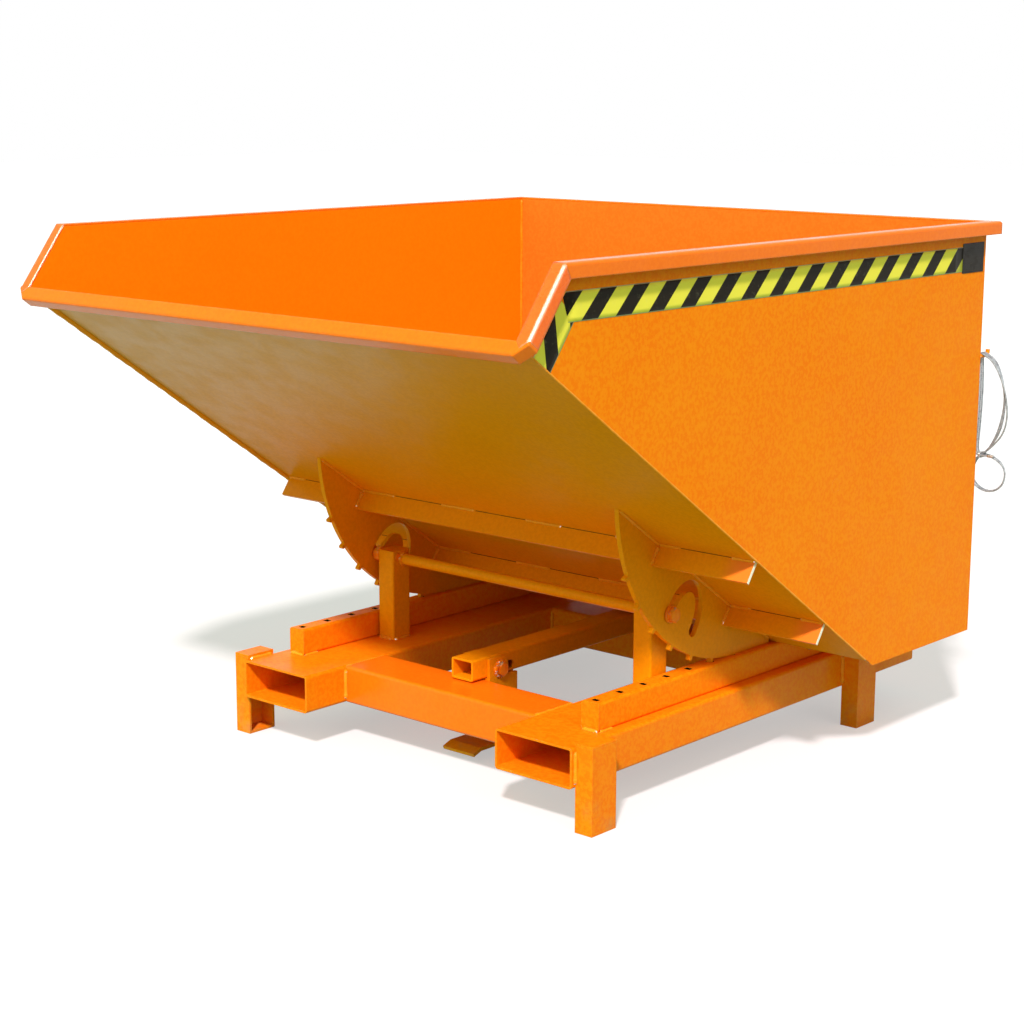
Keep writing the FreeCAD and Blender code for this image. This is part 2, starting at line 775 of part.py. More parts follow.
def arc_from(start, run, end):
    """An arc of less than half a turn that leaves a point along a direction to another, and its radius."""
    chord = end - start
    side = (chord - run * chord.dot(run)).normalize()
    radius = chord.dot(chord) / (2 * chord.dot(side))
    centre = start + side * radius
    middle = centre + (chord * (1 / 2) - side * radius).normalize() * radius
    return Part.Arc(start, middle, end).toShape(), radius


def biarc(start, start_run, end, end_run):
    """Two arcs that meet smoothly and join two places along two directions, and their smaller radius."""
    chord = end - start
    run_sum = chord.dot(start_run + end_run)
    spread = 2 * (1 - start_run.dot(end_run))
    if spread < running_gap:
        reach = chord.dot(chord) / (2 * run_sum)
    else:
        reach = (math.sqrt(run_sum ** 2 + spread * chord.dot(chord)) - run_sum) / spread
    meet = (start + end + (start_run - end_run) * reach) * (1 / 2)
    first, first_radius = arc_from(start, start_run, meet)
    second, second_radius = arc_from(end, end_run * -1, meet)
    return [first, second], min(first_radius, second_radius)


def cable_stations():
    """Places and directions along the hank: loops over the hook and below the waist, crossing there."""
    left, right, up, down = Vec(-1, 0, 0), Vec(1, 0, 0), Vec(0, 0, 1), Vec(0, 0, -1)
    leave, slant = math.radians(hook_leave_angle), math.radians(waist_angle)
    off_hook = Vec(math.cos(leave), 0, -math.sin(leave))
    inward = Vec(-math.cos(slant), 0, -math.sin(slant))
    over = (hook_diameter + cable_diameter) / 2 + touch_gap
    strand_x = hook_x - over
    bulge_z = waist_z - lower_bulge_drop
    y = rear_y + cable_wall_gap + cable_diameter / 2
    stations = [(Vec(waist_x + cable_end, y, waist_z), left)]
    for loop in range(loop_count):
        wide = loop_shrink_share ** loop
        across, later = y + cable_pitch / 2, y + cable_pitch
        stations += [
            (Vec(waist_x, y, waist_z), left),
            (Vec(strand_x, y, waist_z + upper_left_rise), up),
            (Vec(strand_x, across, hook_z), up),
            (Vec(hook_x + over * math.sin(leave), across, hook_z + over * math.cos(leave)), off_hook),
            (Vec(waist_x + upper_bulge * wide, across, hook_z - upper_bulge_drop), down),
            (Vec(waist_x, across, waist_z), inward),
        ]
        if loop < loop_count - 1:
            stations += [
                (Vec(waist_x - lower_left * wide, across, bulge_z), down),
                (Vec(waist_x + bottom_shift * wide, (across + later) / 2, waist_z - bottom_drop), right),
                (Vec(waist_x + lower_bulge * wide, later, bulge_z), up),
            ]
            y = later
    stations.append((stations[-1][0] + inward * cable_end, inward))
    return stations


def make_cable():
    """Wire rope hank as one unbroken tube, with the band at its waist and the ferrules on its ends."""
    stations = cable_stations()
    edges = []
    radii = []
    for (start, start_run), (end, end_run) in zip(stations, stations[1:]):
        if (end - start).cross(start_run).Length < running_gap:
            edges.append(Part.LineSegment(start, end).toShape())
            continue
        arcs, radius = biarc(start, start_run, end, end_run)
        edges.extend(arcs)
        radii.append(radius)
    path = Part.Wire(edges)
    first, last = stations[0][0], stations[-1][0]
    section = Part.Wire(Part.makeCircle(cable_diameter / 2, first, stations[0][1]))
    tube = path.makePipeShell([section], True, False)
    expected = math.pi * (cable_diameter / 2) ** 2 * path.Length
    print("cable length", round(path.Length, 1), "least bend radius", round(min(radii), 1))
    print("cable least gap to itself", round(least_gap(path), 2))
    print("cable volume share", round(tube.Volume / expected, 4))
    save("cable_hank", tube)

    slant = math.radians(waist_angle)
    clear = cable_diameter / 2 + touch_gap
    band_x = about(waist_x, band_height / 2)
    band_y = grown((first.y, last.y), clear)
    band_z = about(waist_z, clear / math.cos(slant) + band_height / 2 * math.tan(slant))
    outside = (band_x, grown(band_y, band_sheet), grown(band_z, band_sheet))
    band = rounded_block(outside, "x", clear)
    save("cable_band", band.cut(block(grown(band_x, overrun), band_y, band_z)))
    ferrules = []
    for foot, run in ((first, stations[0][1]), (last, stations[-1][1] * -1)):
        sleeve = Part.makeCylinder(ferrule_diameter / 2, ferrule_length, foot, run)
        bore = Part.makeCylinder(cable_diameter / 2, ferrule_length + 2 * overrun, foot - run * overrun, run)
        ferrules.append(sleeve.cut(bore))
    save("cable_ferrules", *ferrules)


def least_gap(path):
    """Least space between stretches of the tube that are not neighbours along it, measured on points."""
    step = cable_diameter / 2
    points = path.discretize(Distance=step)
    apart = math.ceil(2 * math.pi * cable_diameter / step)
    gaps = []
    for number, point in enumerate(points):
        gaps.extend(point.distanceToPoint(other) for other in points[number + apart:])
    return min(gaps) - cable_diameter


os.makedirs("parts", exist_ok=True)
make_base()
make_rails()
make_posts()
make_lock()
make_hopper_walls()
make_rim()
make_rockers()
make_stiffeners()
make_tape()
make_hook()
make_cable()
print("roll travel", round(roll_radius * math.radians(tip_angle), 3), "origin shift", round(origin_shift, 3))
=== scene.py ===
"""Looks of a roll-forward tipping skip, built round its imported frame.

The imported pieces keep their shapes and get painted. Weld beads, chamfered fasteners, striped tape and the
wire rope are new pieces. Metres, X across, -Y towards the tipping lip, +Z up.
"""
import json
import logging
import math
from dataclasses import dataclass, field
from enum import Enum

import bpy
import numpy as np
from mathutils import Matrix, Vector


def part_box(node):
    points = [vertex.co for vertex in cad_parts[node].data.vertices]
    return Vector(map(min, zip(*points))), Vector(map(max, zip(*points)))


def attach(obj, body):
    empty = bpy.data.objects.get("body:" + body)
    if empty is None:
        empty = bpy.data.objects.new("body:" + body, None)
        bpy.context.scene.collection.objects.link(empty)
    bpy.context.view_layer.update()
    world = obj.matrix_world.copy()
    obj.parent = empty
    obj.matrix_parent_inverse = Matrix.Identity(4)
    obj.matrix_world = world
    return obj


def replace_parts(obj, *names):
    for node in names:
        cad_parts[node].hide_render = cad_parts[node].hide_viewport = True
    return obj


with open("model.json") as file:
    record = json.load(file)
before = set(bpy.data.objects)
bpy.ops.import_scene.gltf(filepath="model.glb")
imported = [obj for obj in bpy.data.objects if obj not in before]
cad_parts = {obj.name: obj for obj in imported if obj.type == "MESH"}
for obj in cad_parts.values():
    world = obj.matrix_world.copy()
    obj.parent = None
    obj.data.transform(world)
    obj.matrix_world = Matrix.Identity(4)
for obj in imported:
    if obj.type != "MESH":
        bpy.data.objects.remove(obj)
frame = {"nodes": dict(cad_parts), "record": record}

LOG = logging.getLogger("skip")
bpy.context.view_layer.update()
SIDES = ((-1.0, "left"), (1.0, "right"))
ACROSS, ALONG = np.array([1.0, 0.0, 0.0]), np.array([0.0, 1.0, 0.0])
TURN = 2 * math.pi
Array = np.ndarray
Colour = tuple[float, float, float]
Point = tuple[float, float, float]
Vec = Point | Array
Material = bpy.types.Material
Object = bpy.types.Object
Outputs = bpy.types.bpy_prop_collection
Socket = bpy.types.NodeSocket


class Body(Enum):
    """The moving bodies of the skip."""

    BASE = "base"
    HOPPER = "hopper"
    LOCK = "lock"


class Slot(Enum):
    """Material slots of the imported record."""

    PAINT = "orange_paint"
    ZINC = "zinc"
    ROPE = "wire_rope"
    TAPE = "hazard_tape"
    PLATE = "black_plate"


# Surfaces


@dataclass
class Surface:
    """Points, faces and flat coordinates of one or more grid surfaces.

    Attributes:
        points: one row of x, y, z for each point.
        quads: four point numbers for each face.
        flat: one row of u, v for each point.
        caps: rings of point numbers that close open ends.
    """

    points: Array
    quads: Array
    flat: Array
    caps: list[list[int]] = field(default_factory=list)

    @classmethod
    def from_grid(cls, grid: Array, ring: bool = False, loop: bool = False, capped: bool = False,
                  flat: Array | None = None) -> "Surface":
        """Join the neighbours of a grid of points into faces.

        Args:
            grid: points with shape (rows, columns, 3).
            ring: whether the last column joins the first.
            loop: whether the last row joins the first.
            capped: whether the first and last rows are closed by a face.
            flat: u, v of each grid point; row and column shares where it is left out.

        Returns:
            The surface, with faces that run row, column, next column, next row.
        """
        rows, columns = grid.shape[:2]
        number = np.arange(rows * columns).reshape(rows, columns)
        if ring:
            number = np.concatenate([number, number[:, :1]], axis=1)
        if loop:
            number = np.concatenate([number, number[:1]], axis=0)
        quads = np.stack([number[:-1, :-1], number[:-1, 1:], number[1:, 1:], number[1:, :-1]], axis=-1)
        if flat is None:
            flat = np.stack(np.meshgrid(np.linspace(0, 1, columns), np.linspace(0, 1, rows)), axis=-1)
        first, last = np.arange(columns), np.arange(columns) + (rows - 1) * columns
        caps = [first[::-1].tolist(), last.tolist()] if capped else []
        return cls(grid.reshape(-1, 3), quads.reshape(-1, 4), flat.reshape(-1, 2), caps)

    @classmethod
    def tube(cls, line: Array, radius: Array | float, one: Array, other: Array, count: int) -> "Surface":
        """A round skin along a line.

        The point at turn a is the line's point, plus the radius times the cosine of a along one direction
        across the line and its sine along the other.

        Args:
            line: points of the line.
            radius: one radius, or one for each point, or for each point and turn.
            one: first direction across the line, for all points or for each.
            other: second direction across it.
            count: points round the line.

        Returns:
            The skin, closed at both ends.
        """
        turn = np.linspace(0, TURN, count, endpoint=False)[None, :, None]
        one, other = (np.broadcast_to(way, line.shape)[:, None, :] for way in (one, other))
        size = np.broadcast_to(radius, (len(line), count))[..., None]
        grid = line[:, None, :] + size * (np.cos(turn) * one + np.sin(turn) * other)
        return cls.from_grid(grid, ring=True, capped=True)

    @classmethod
    def joined(cls, parts: list["Surface"]) -> "Surface":
        """Put several surfaces into one, with their point numbers moved on.

        Args:
            parts: the surfaces, in order.

        Returns:
            One surface that holds them all.
        """
        starts = np.cumsum([0] + [len(part.points) for part in parts[:-1]])
        caps = [[number + int(start) for number in cap]
                for part, start in zip(parts, starts) for cap in part.caps]
        return cls(np.concatenate([part.points for part in parts]),
                   np.concatenate([part.quads + start for part, start in zip(parts, starts)]),
                   np.concatenate([part.flat for part in parts]), caps)

    def piece(self, name: str, body: Body, slot: Slot, finish: Material) -> Object:
        """Make a scene object of the surface and let it ride on a body.

        Args:
            name: the piece's name.
            body: the body that carries it.
            slot: the record's material slot; not used.
            finish: the piece's material.

        Returns:
            The new object, at the origin, with smooth faces that point outwards.
        """
        mesh = bpy.data.meshes.new(name)
        mesh.from_pydata(self.points.tolist(), [], self.quads.tolist() + self.caps)
        corners = np.zeros(len(mesh.loops), dtype=np.int32)
        mesh.loops.foreach_get("vertex_index", corners)
        layer = mesh.uv_layers.new(name="UVMap")
        layer.data.foreach_set("uv", self.flat[corners].astype(np.float32).ravel())
        mesh.polygons.foreach_set("use_smooth", np.ones(len(mesh.polygons), dtype=bool))
        mesh.materials.append(finish)
        mesh.update()
        made = bpy.data.objects.new(name, mesh)
        bpy.context.scene.collection.objects.link(made)
        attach(made, body.value)
        LOG.info("%s: %d faces on %s", name, len(mesh.polygons), body.value)
        return made


def unit(vector: Array) -> Array:
    """Vectors along the last axis, each made one long."""
    return vector / np.linalg.norm(vector, axis=-1, keepdims=True)


def distances(line: Array) -> Array:
    """Distance of each point of a line from its start, along the line."""
    return np.concatenate([[0.0], np.cumsum(np.linalg.norm(np.diff(line, axis=0), axis=1))])


@dataclass(frozen=True)
class NodeBox:
    """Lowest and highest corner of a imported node."""

    low: Array
    high: Array

    @classmethod
    def of(cls, node: str) -> "NodeBox":
        """The box of a named node."""
        low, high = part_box(node)
        return cls(np.array(low), np.array(high))

    @property
    def middle(self) -> Array:
        """The box's centre."""
        return (self.low + self.high) / 2

    def face(self, side: float) -> float:
        """Place across of the left face (-1) or the right face (1)."""
        return float(self.high[0] if side > 0 else self.low[0])


# Finishes


class NodeSet:
    """Adds and wires the nodes of one material, or of the surroundings."""

    def __init__(self, owner: Material | bpy.types.World, shader: str, output: str) -> None:
        """Start the owner's nodes with one shader.

        Args:
            owner: the material or world.
            shader: type name of its shader.
            output: type name of its output.
        """
        owner.use_nodes = True
        self.owner, self.tree = owner, owner.node_tree
        self.tree.nodes.clear()
        self.shader = self.add(shader)
        self.tree.links.new(self.shader.outputs[0], self.add(output).inputs["Surface"])

    @classmethod
    def material(cls, name: str, shader: str = "ShaderNodeBsdfPrincipled") -> "NodeSet":
        """The nodes of a new material."""
        return cls(bpy.data.materials.new(name), shader, "ShaderNodeOutputMaterial")

    def add(self, kind: str, **settings: object) -> bpy.types.Node:
        """Add a node.

        Args:
            kind: the node's type name.
            **settings: attributes to set on it.

        Returns:
            The new node.
        """
        node = self.tree.nodes.new(kind)
        for key, value in settings.items():
            setattr(node, key, value)
        return node

    def feed(self, socket: Socket, value: object) -> None:
        """Link another socket to an input, or set the input's own value.

        Args:
            socket: the input.
            value: a socket, a colour or vector, or a number.
        """
        if isinstance(value, Socket):
            self.tree.links.new(value, socket)
        elif isinstance(value, tuple):
            socket.default_value = (*value, 1.0) if socket.type == "RGBA" else value
        else:
            socket.default_value = value

    def fed(self, kind: str, *values: object, **settings: object) -> bpy.types.Node:
        """Add a node and feed its inputs.

        Args:
            kind: the node's type name.
            *values: values or sockets for its inputs, in order; None leaves one as it is.
            **settings: attributes to set on it.

        Returns:
            The new node.
        """
        node = self.add(kind, **settings)
        for socket, value in zip(node.inputs, values):
            if value is not None:
                self.feed(socket, value)
        return node

    def set(self, **values: object) -> Material:
        """Feed inputs of the shader.

        Args:
            **values: values or sockets by the input's name, with _ for a space.

        Returns:
            The owner of the nodes.
        """
        for key, value in values.items():
            self.feed(self.shader.inputs[key.replace("_", " ")], value)
        return self.owner

    def maths(self, how: str, *values: object, clamp: bool = False) -> Socket:
        """The result of one of Blender's operations on values or sockets."""
        return self.fed("ShaderNodeMath", *values, operation=how, use_clamp=clamp).outputs[0]

    def times(self, first: object, second: object) -> Socket:
        """The product of two values or sockets."""
        return self.maths("MULTIPLY", first, second)

    def span(self, value: object, low: float, high: float, to_low: float = 0.0,
             to_high: float = 1.0) -> Socket:
        """A smooth step of a value, from one result before low to another after high."""
        return self.fed("ShaderNodeMapRange", value, low, high, to_low, to_high,
                        interpolation_type="SMOOTHSTEP").outputs[0]

    def mix(self, share: object, first: object, second: object) -> Socket:
        """A colour between two, with a share of the second."""
        skipped = [None] * 5
        return self.fed("ShaderNodeMix", share, *skipped, first, second, data_type="RGBA").outputs[2]

    def place(self) -> Socket:
        """Object coordinates, which are the skip's own frame on every piece."""
        return self.add("ShaderNodeTexCoord").outputs["Object"]

    def split(self, vector: Socket) -> Outputs:
        """The X, Y and Z of a vector."""
        return self.fed("ShaderNodeSeparateXYZ", vector).outputs

    def flat(self) -> Outputs:
        """The X and Y of the piece's own flat coordinates."""
        return self.split(self.add("ShaderNodeUVMap", uv_map="UVMap").outputs[0])

    def pattern(self, kind: str, where: Socket, **values: float) -> Outputs:
        """A noise or cell pattern.

        Args:
            kind: the texture's name in the node's type name.
            where: the coordinates.
            **values: its inputs by name, of which Scale counts patches to the metre.

        Returns:
            The pattern's outputs.
        """
        node = self.add("ShaderNodeTex" + kind)
        for key, value in {"Vector": where, **values}.items():
            self.feed(node.inputs[key], value)
        return node.outputs

    def noise(self, where: Socket, scale: float, detail: float = 2.0, harsh: float = 0.5) -> Socket:
        """Cloudy noise about 0.5, with so many clouds to the metre and finer layers."""
        return self.pattern("Noise", where, Scale=scale, Detail=detail, Roughness=harsh)["Fac"]

    def relief(self, height: object, depth: float, normal: object = None) -> Socket:
        """A bump.

        Args:
            height: the height's socket.
            depth: metres of relief between heights 0 and 1.
            normal: the normal it is laid on.

        Returns:
            The new normal's socket.
        """
        node = self.add("ShaderNodeBump")
        for key, value in (("Strength", 1.0), ("Distance", depth), ("Height", height)):
            self.feed(node.inputs[key], value)
        if normal is not None:
            self.feed(node.inputs["Normal"], normal)
        return node.outputs[0]


@dataclass(frozen=True)
class PaintFinish:
    """Sprayed enamel on steel: cloudy mottle, orange peel, rounded worn edges and a little dust, with painted
    light, shade and sheen where a finish asks for it.

    Attributes:
        name: the material's name.
        colour: the paint.
        deep: the paint where it lies thicker.
        rubbed_and_sheen: the paint at worn edges, and on the slanted rim's wide rounded edges also painted
            sheen.
        steel: bare steel in chips.
        dust: dust near the ground.
        bright: drops of bare weld metal, and the painted highlight on the bars' end faces.
        lit_end_tint: painted light: a pinker tint at the bars' right ends.
        slot_shade_tone: painted shade: near black in the rails' slots.
        upper_shade_tone: painted shade: a darker, greyer tone mixed into the slope's underside higher up and
            to the left.
        gloss: roughness of the paint.
        shine: strength of its reflections.
        chipped: how much of the edges is chipped, from 0 to 1.
        edge: radius that edges are rounded to, in metres.
        bare_ends: length of weld, from either end, in which drops of bare metal show.
        end_light: whether the bars' right ends get painted light, with near-white painted highlight on end
            faces.
        shaded_slot_box: a rail's distance from the middle, half width and height, below which its slots get
            painted shade.
        fades: whether the reflections fade towards the foot and the right, with painted shade darkening the
            underside higher up and only the upper side in the walls' colours, so the underside stays a shaded
            copy.
        coat: share of a clear coat on the rounded edges that look to the front and the right.
    """

    name: str
    colour: Colour = (0.99, 0.275, 0.005)
    deep: Colour = (0.97, 0.196, 0.002)
    rubbed_and_sheen: Colour = (0.98, 0.3, 0.03)
    steel: Colour = (0.5, 0.47, 0.43)
    dust: Colour = (0.42, 0.3, 0.17)
    bright: Colour = (0.93, 0.9, 0.86)
    lit_end_tint: Colour = (0.97, 0.215, 0.026)
    slot_shade_tone: Colour = (0.012, 0.007, 0.003)
    upper_shade_tone: Colour = (0.3, 0.25, 0.02)
    gloss: float = 0.34
    shine: float = 0.14
    chipped: float = 0.25
    edge: float = 0.0016
    bare_ends: float = 0.0
    end_light: bool = False
    shaded_slot_box: Point | None = None
    fades: bool = False
    coat: float = 0.0

    # Clouds to the metre of each noise.
    CLOUD, SHEEN, GRAIN, PATCH, MOTTLE, DROPS, PEEL = 2.6, 17.0, 21.0, 45.0, 115.0, 160.0, 210.0
    DUST_TOP = 0.11
    # Places across over which the painted light at the bars' right ends comes in.
    LIT_ENDS = (0.63, 0.69)
    # Climb over which the slope's reflections fade and its painted shade comes in.
    FADE = (0.72, 1.15)
    COAT_ROUGH, COAT_IOR = 0.33, 3.0

    def material(self) -> Material:
        """Build the paint's material.

        Returns:
            The material: noise in the skip's frame mixes the colours, and an edge mask from rounded normals
            places the wear.
        """
        nodes = NodeSet.material(self.name)
        where = nodes.place()
        at = nodes.split(where)
        curved = nodes.fed("ShaderNodeBevel", self.edge, samples=4).outputs[0]
        level = nodes.add("ShaderNodeNewGeometry").outputs["True Normal"]
        turn = nodes.fed("ShaderNodeVectorMath", curved, level, operation="DOT_PRODUCT").outputs["Value"]
        edge = nodes.span(turn, 0.995, 0.86)
        mottle = nodes.span(nodes.noise(where, self.MOTTLE, 3.0, 0.6), 0.4, 0.6)
        cloud = nodes.span(nodes.noise(where, self.CLOUD, 3.0), 0.3, 0.7)
        blend = nodes.maths("ADD", nodes.times(mottle, 0.75), nodes.times(cloud, 0.25))
        paint = nodes.mix(blend, self.colour, self.deep)
        patch = nodes.noise(where, self.PATCH, 4.0, 0.6)
        rub = nodes.span(patch, 0.38, 0.62, 0.15, 0.75)
        paint = nodes.mix(nodes.times(edge, rub), paint, self.rubbed_and_sheen)
        chip = nodes.span(patch, 0.72 - 0.14 * self.chipped, 0.74)
        paint = nodes.mix(nodes.times(edge, chip), paint, self.steel)
        grain = nodes.span(nodes.noise(where, self.GRAIN, 5.0, 0.62), 0.4, 0.75)
        dust = nodes.times(nodes.span(at["Z"], self.DUST_TOP, 0.0, 0.0, 0.32), grain)
        paint = nodes.mix(dust, paint, self.dust)
        sheen = nodes.noise(where, self.SHEEN, 3.0)
        rough = nodes.span(sheen, 0.25, 0.75, self.gloss - 0.06, self.gloss + 0.07)
        rough = nodes.maths("ADD", rough, nodes.times(dust, 0.4))
        normal = nodes.relief(nodes.noise(where, self.PEEL, 1.0), 0.0002, curved)
        metal, shine, coat = 0.0, self.shine, self.coat
        if self.bare_ends > 0:
            drops = nodes.span(nodes.noise(where, self.DROPS, 2.0), 0.56, 0.6)
            metal = nodes.times(drops, nodes.span(nodes.flat()["Y"], self.bare_ends, 0.0))
            paint = nodes.mix(metal, paint, self.bright)
        # Painted light: a pinker tint at the bars' right ends and near-white highlight patches on their end
        # faces.
        if self.end_light:
            cut = nodes.span(nodes.maths("ABSOLUTE", nodes.split(level)["X"]), 0.8, 0.95)
            paint = nodes.mix(nodes.span(at["X"], *self.LIT_ENDS), paint, self.lit_end_tint)
            paint = nodes.mix(nodes.times(cut, nodes.span(patch, 0.3, 0.42, 0.2, 1.0)), paint, self.bright)
        # Painted shade: the walls of the rails' slots are near black.
        if self.shaded_slot_box is not None:
            middle, half, top = self.shaded_slot_box
            off = nodes.maths("ABSOLUTE", nodes.maths("SUBTRACT", nodes.maths("ABSOLUTE", at["X"]), middle))
            inside = nodes.times(nodes.maths("LESS_THAN", off, half), nodes.maths("LESS_THAN", at["Z"], top))
            paint = nodes.mix(inside, paint, self.slot_shade_tone)
        # Painted shade on the slope: the underside greys and darkens higher up and to the left, and only the
        # upward faces take the walls' lighter colours.
        if self.fades:
            climb = nodes.maths("ADD", at["Z"], nodes.times(at["X"], -0.25))
            shine = nodes.span(climb, *self.FADE, 0.01, self.shine)
            paint = nodes.mix(nodes.span(climb, *self.FADE, 0.0, 0.35), paint, self.upper_shade_tone)
            walls = nodes.mix(blend, PaintFinish.colour, PaintFinish.deep)
            paint = nodes.mix(nodes.maths("GREATER_THAN", nodes.split(level)["Z"], 0.0), paint, walls)
        if self.coat > 0:
            bent = nodes.split(curved)
            corner = nodes.times(nodes.span(bent["X"], 0.2, 0.4), nodes.span(bent["Y"], -0.2, -0.4))
            coat = nodes.times(corner, self.coat)
        return nodes.set(Base_Color=paint, Roughness=rough, Normal=normal, Metallic=metal,
                         Specular_IOR_Level=shine, Coat_Weight=coat, Coat_Roughness=self.COAT_ROUGH,
                         Coat_IOR=self.COAT_IOR, Coat_Normal=curved)


@dataclass(frozen=True)
class MetalFinish:
    """Bare or zinc-plated steel with soft spangle, fine scratches and patchy grime.

    Attributes:
        name: the material's name.
        colour: clean metal.
        grime: dull metal.
        gloss: roughness of clean metal.
        spangle: spangle patches to the metre.
        bare: how metallic it is; less under oxide.
    """

    name: str
    colour: Colour = (0.64, 0.64, 0.62)
    grime: Colour = (0.33, 0.31, 0.28)
    gloss: float = 0.28
    spangle: float = 260.0
    bare: float = 1.0

    GRIME, SCRATCH = 120.0, 900.0

    def material(self) -> Material:
        """Build the metal's material.

        Returns:
            The material: cells of slightly different tone, dulled by noise.
        """
        nodes = NodeSet.material(self.name)
        where = nodes.place()
        grime = nodes.span(nodes.noise(where, self.GRIME, 4.0, 0.6), 0.42, 0.72, 0.0, 0.8)
        cells = nodes.pattern("Voronoi", where, Scale=self.spangle)["Color"]
        tone = nodes.times(nodes.span(cells, 0.0, 1.0), 0.3)
        metal = nodes.mix(nodes.maths("ADD", grime, tone, clamp=True), self.colour, self.grime)
        rough = nodes.maths("MULTIPLY_ADD", grime, 0.3, self.gloss)
        normal = nodes.relief(nodes.noise(where, self.SCRATCH, 2.0), 0.00008)
        return nodes.set(Base_Color=metal, Roughness=rough, Normal=normal, Metallic=self.bare)


@dataclass(frozen=True)
class TapeFinish:
    """Striped tape: slanting bands by the piece's own flat coordinates in metres, a pale cut edge and scuffs.

    Attributes:
        name: the material's name.
        light: the yellow bands.
        dark: the black bands.
        rim: the pale edge of the film.
        period: length of one yellow and one black band along the tape.
        share: the black band's share of it.
        start: shift of the bands, as a share of the period.
        width: width of the tape.
        gloss: roughness.
    """

    name: str
    light: Colour = (0.9, 0.79, 0.09)
    dark: Colour = (0.014, 0.01, 0.006)
    rim: Colour = (0.6, 0.6, 0.42)
    period: float = 0.1002
    share: float = 0.48
    start: float = 0.0
    width: float = 0.0575
    gloss: float = 0.34

    SCUFF, BEADS = 70.0, 520.0
    WHOLE_STEPS = 20.0

    def material(self) -> Material:
        """Build the tape's material.

        Returns:
            The material: bands lie where u minus v, over the period, is in the first half of each step.
        """
        nodes = NodeSet.material(self.name)
        flat, where = nodes.flat(), nodes.place()
        slant = nodes.maths("SUBTRACT", flat["X"], flat["Y"])
        steps = nodes.maths("ADD", nodes.maths("DIVIDE", slant, self.period), self.start + self.WHOLE_STEPS)
        half, side = self.share / 2, self.width / 2
        band = nodes.span(nodes.maths("PINGPONG", steps, 0.5), half - 0.006, half + 0.006)
        scuff = nodes.span(nodes.noise(where, self.SCUFF, 5.0, 0.62), 0.55, 0.85, 0.0, 0.12)
        film = nodes.mix(scuff, nodes.mix(band, self.dark, self.light), self.rim)
        off = nodes.maths("ABSOLUTE", nodes.maths("SUBTRACT", flat["Y"], side))
        film = nodes.mix(nodes.span(off, side - 0.0022, side - 0.0012, 0.0, 0.7), film, self.rim)
        normal = nodes.relief(nodes.pattern("Voronoi", where, Scale=self.BEADS)["Distance"], 0.00006)
        return nodes.set(Base_Color=film, Roughness=nodes.maths("ADD", scuff, self.gloss), Normal=normal,
                         Specular_IOR_Level=0.06)


@dataclass(frozen=True)
class FilmFinish:
    """Dark satin film, also used as painted shade in gaps: one tone with faint scratches.

    Attributes:
        name: the material's name.
        colour: the film.
        scratch: scratched film.
        gloss: roughness.
    """

    name: str
    colour: Colour = (0.012, 0.009, 0.006)
    scratch: Colour = (0.05, 0.04, 0.03)
    gloss: float = 0.36

    STRETCH = (900.0, 60.0, 900.0)
    CLOUD = 60.0

    def material(self) -> Material:
        """Build the film's material.

        Returns:
            The material: stretched noise gives fine scratches.
        """
        nodes = NodeSet.material(self.name)
        where = nodes.place()
        stretch = nodes.add("ShaderNodeMapping")
        nodes.feed(stretch.inputs["Vector"], where)
        nodes.feed(stretch.inputs["Scale"], self.STRETCH)
        lines = nodes.span(nodes.noise(stretch.outputs[0], 1.0, 3.0), 0.56, 0.72)
        cloud = nodes.span(nodes.noise(where, self.CLOUD, 4.0), 0.35, 0.7)
        tone = nodes.mix(nodes.times(lines, cloud), self.colour, self.scratch)
        rough = nodes.span(cloud, 0.0, 1.0, self.gloss - 0.06, self.gloss + 0.12)
        return nodes.set(Base_Color=tone, Roughness=rough, Normal=nodes.relief(lines, 0.00003),
                         Specular_IOR_Level=0.12)


def built(finish: PaintFinish | MetalFinish | FilmFinish) -> Material:
    """A dataclass field that builds a finish's material for its owner."""
    return field(default_factory=finish.material)


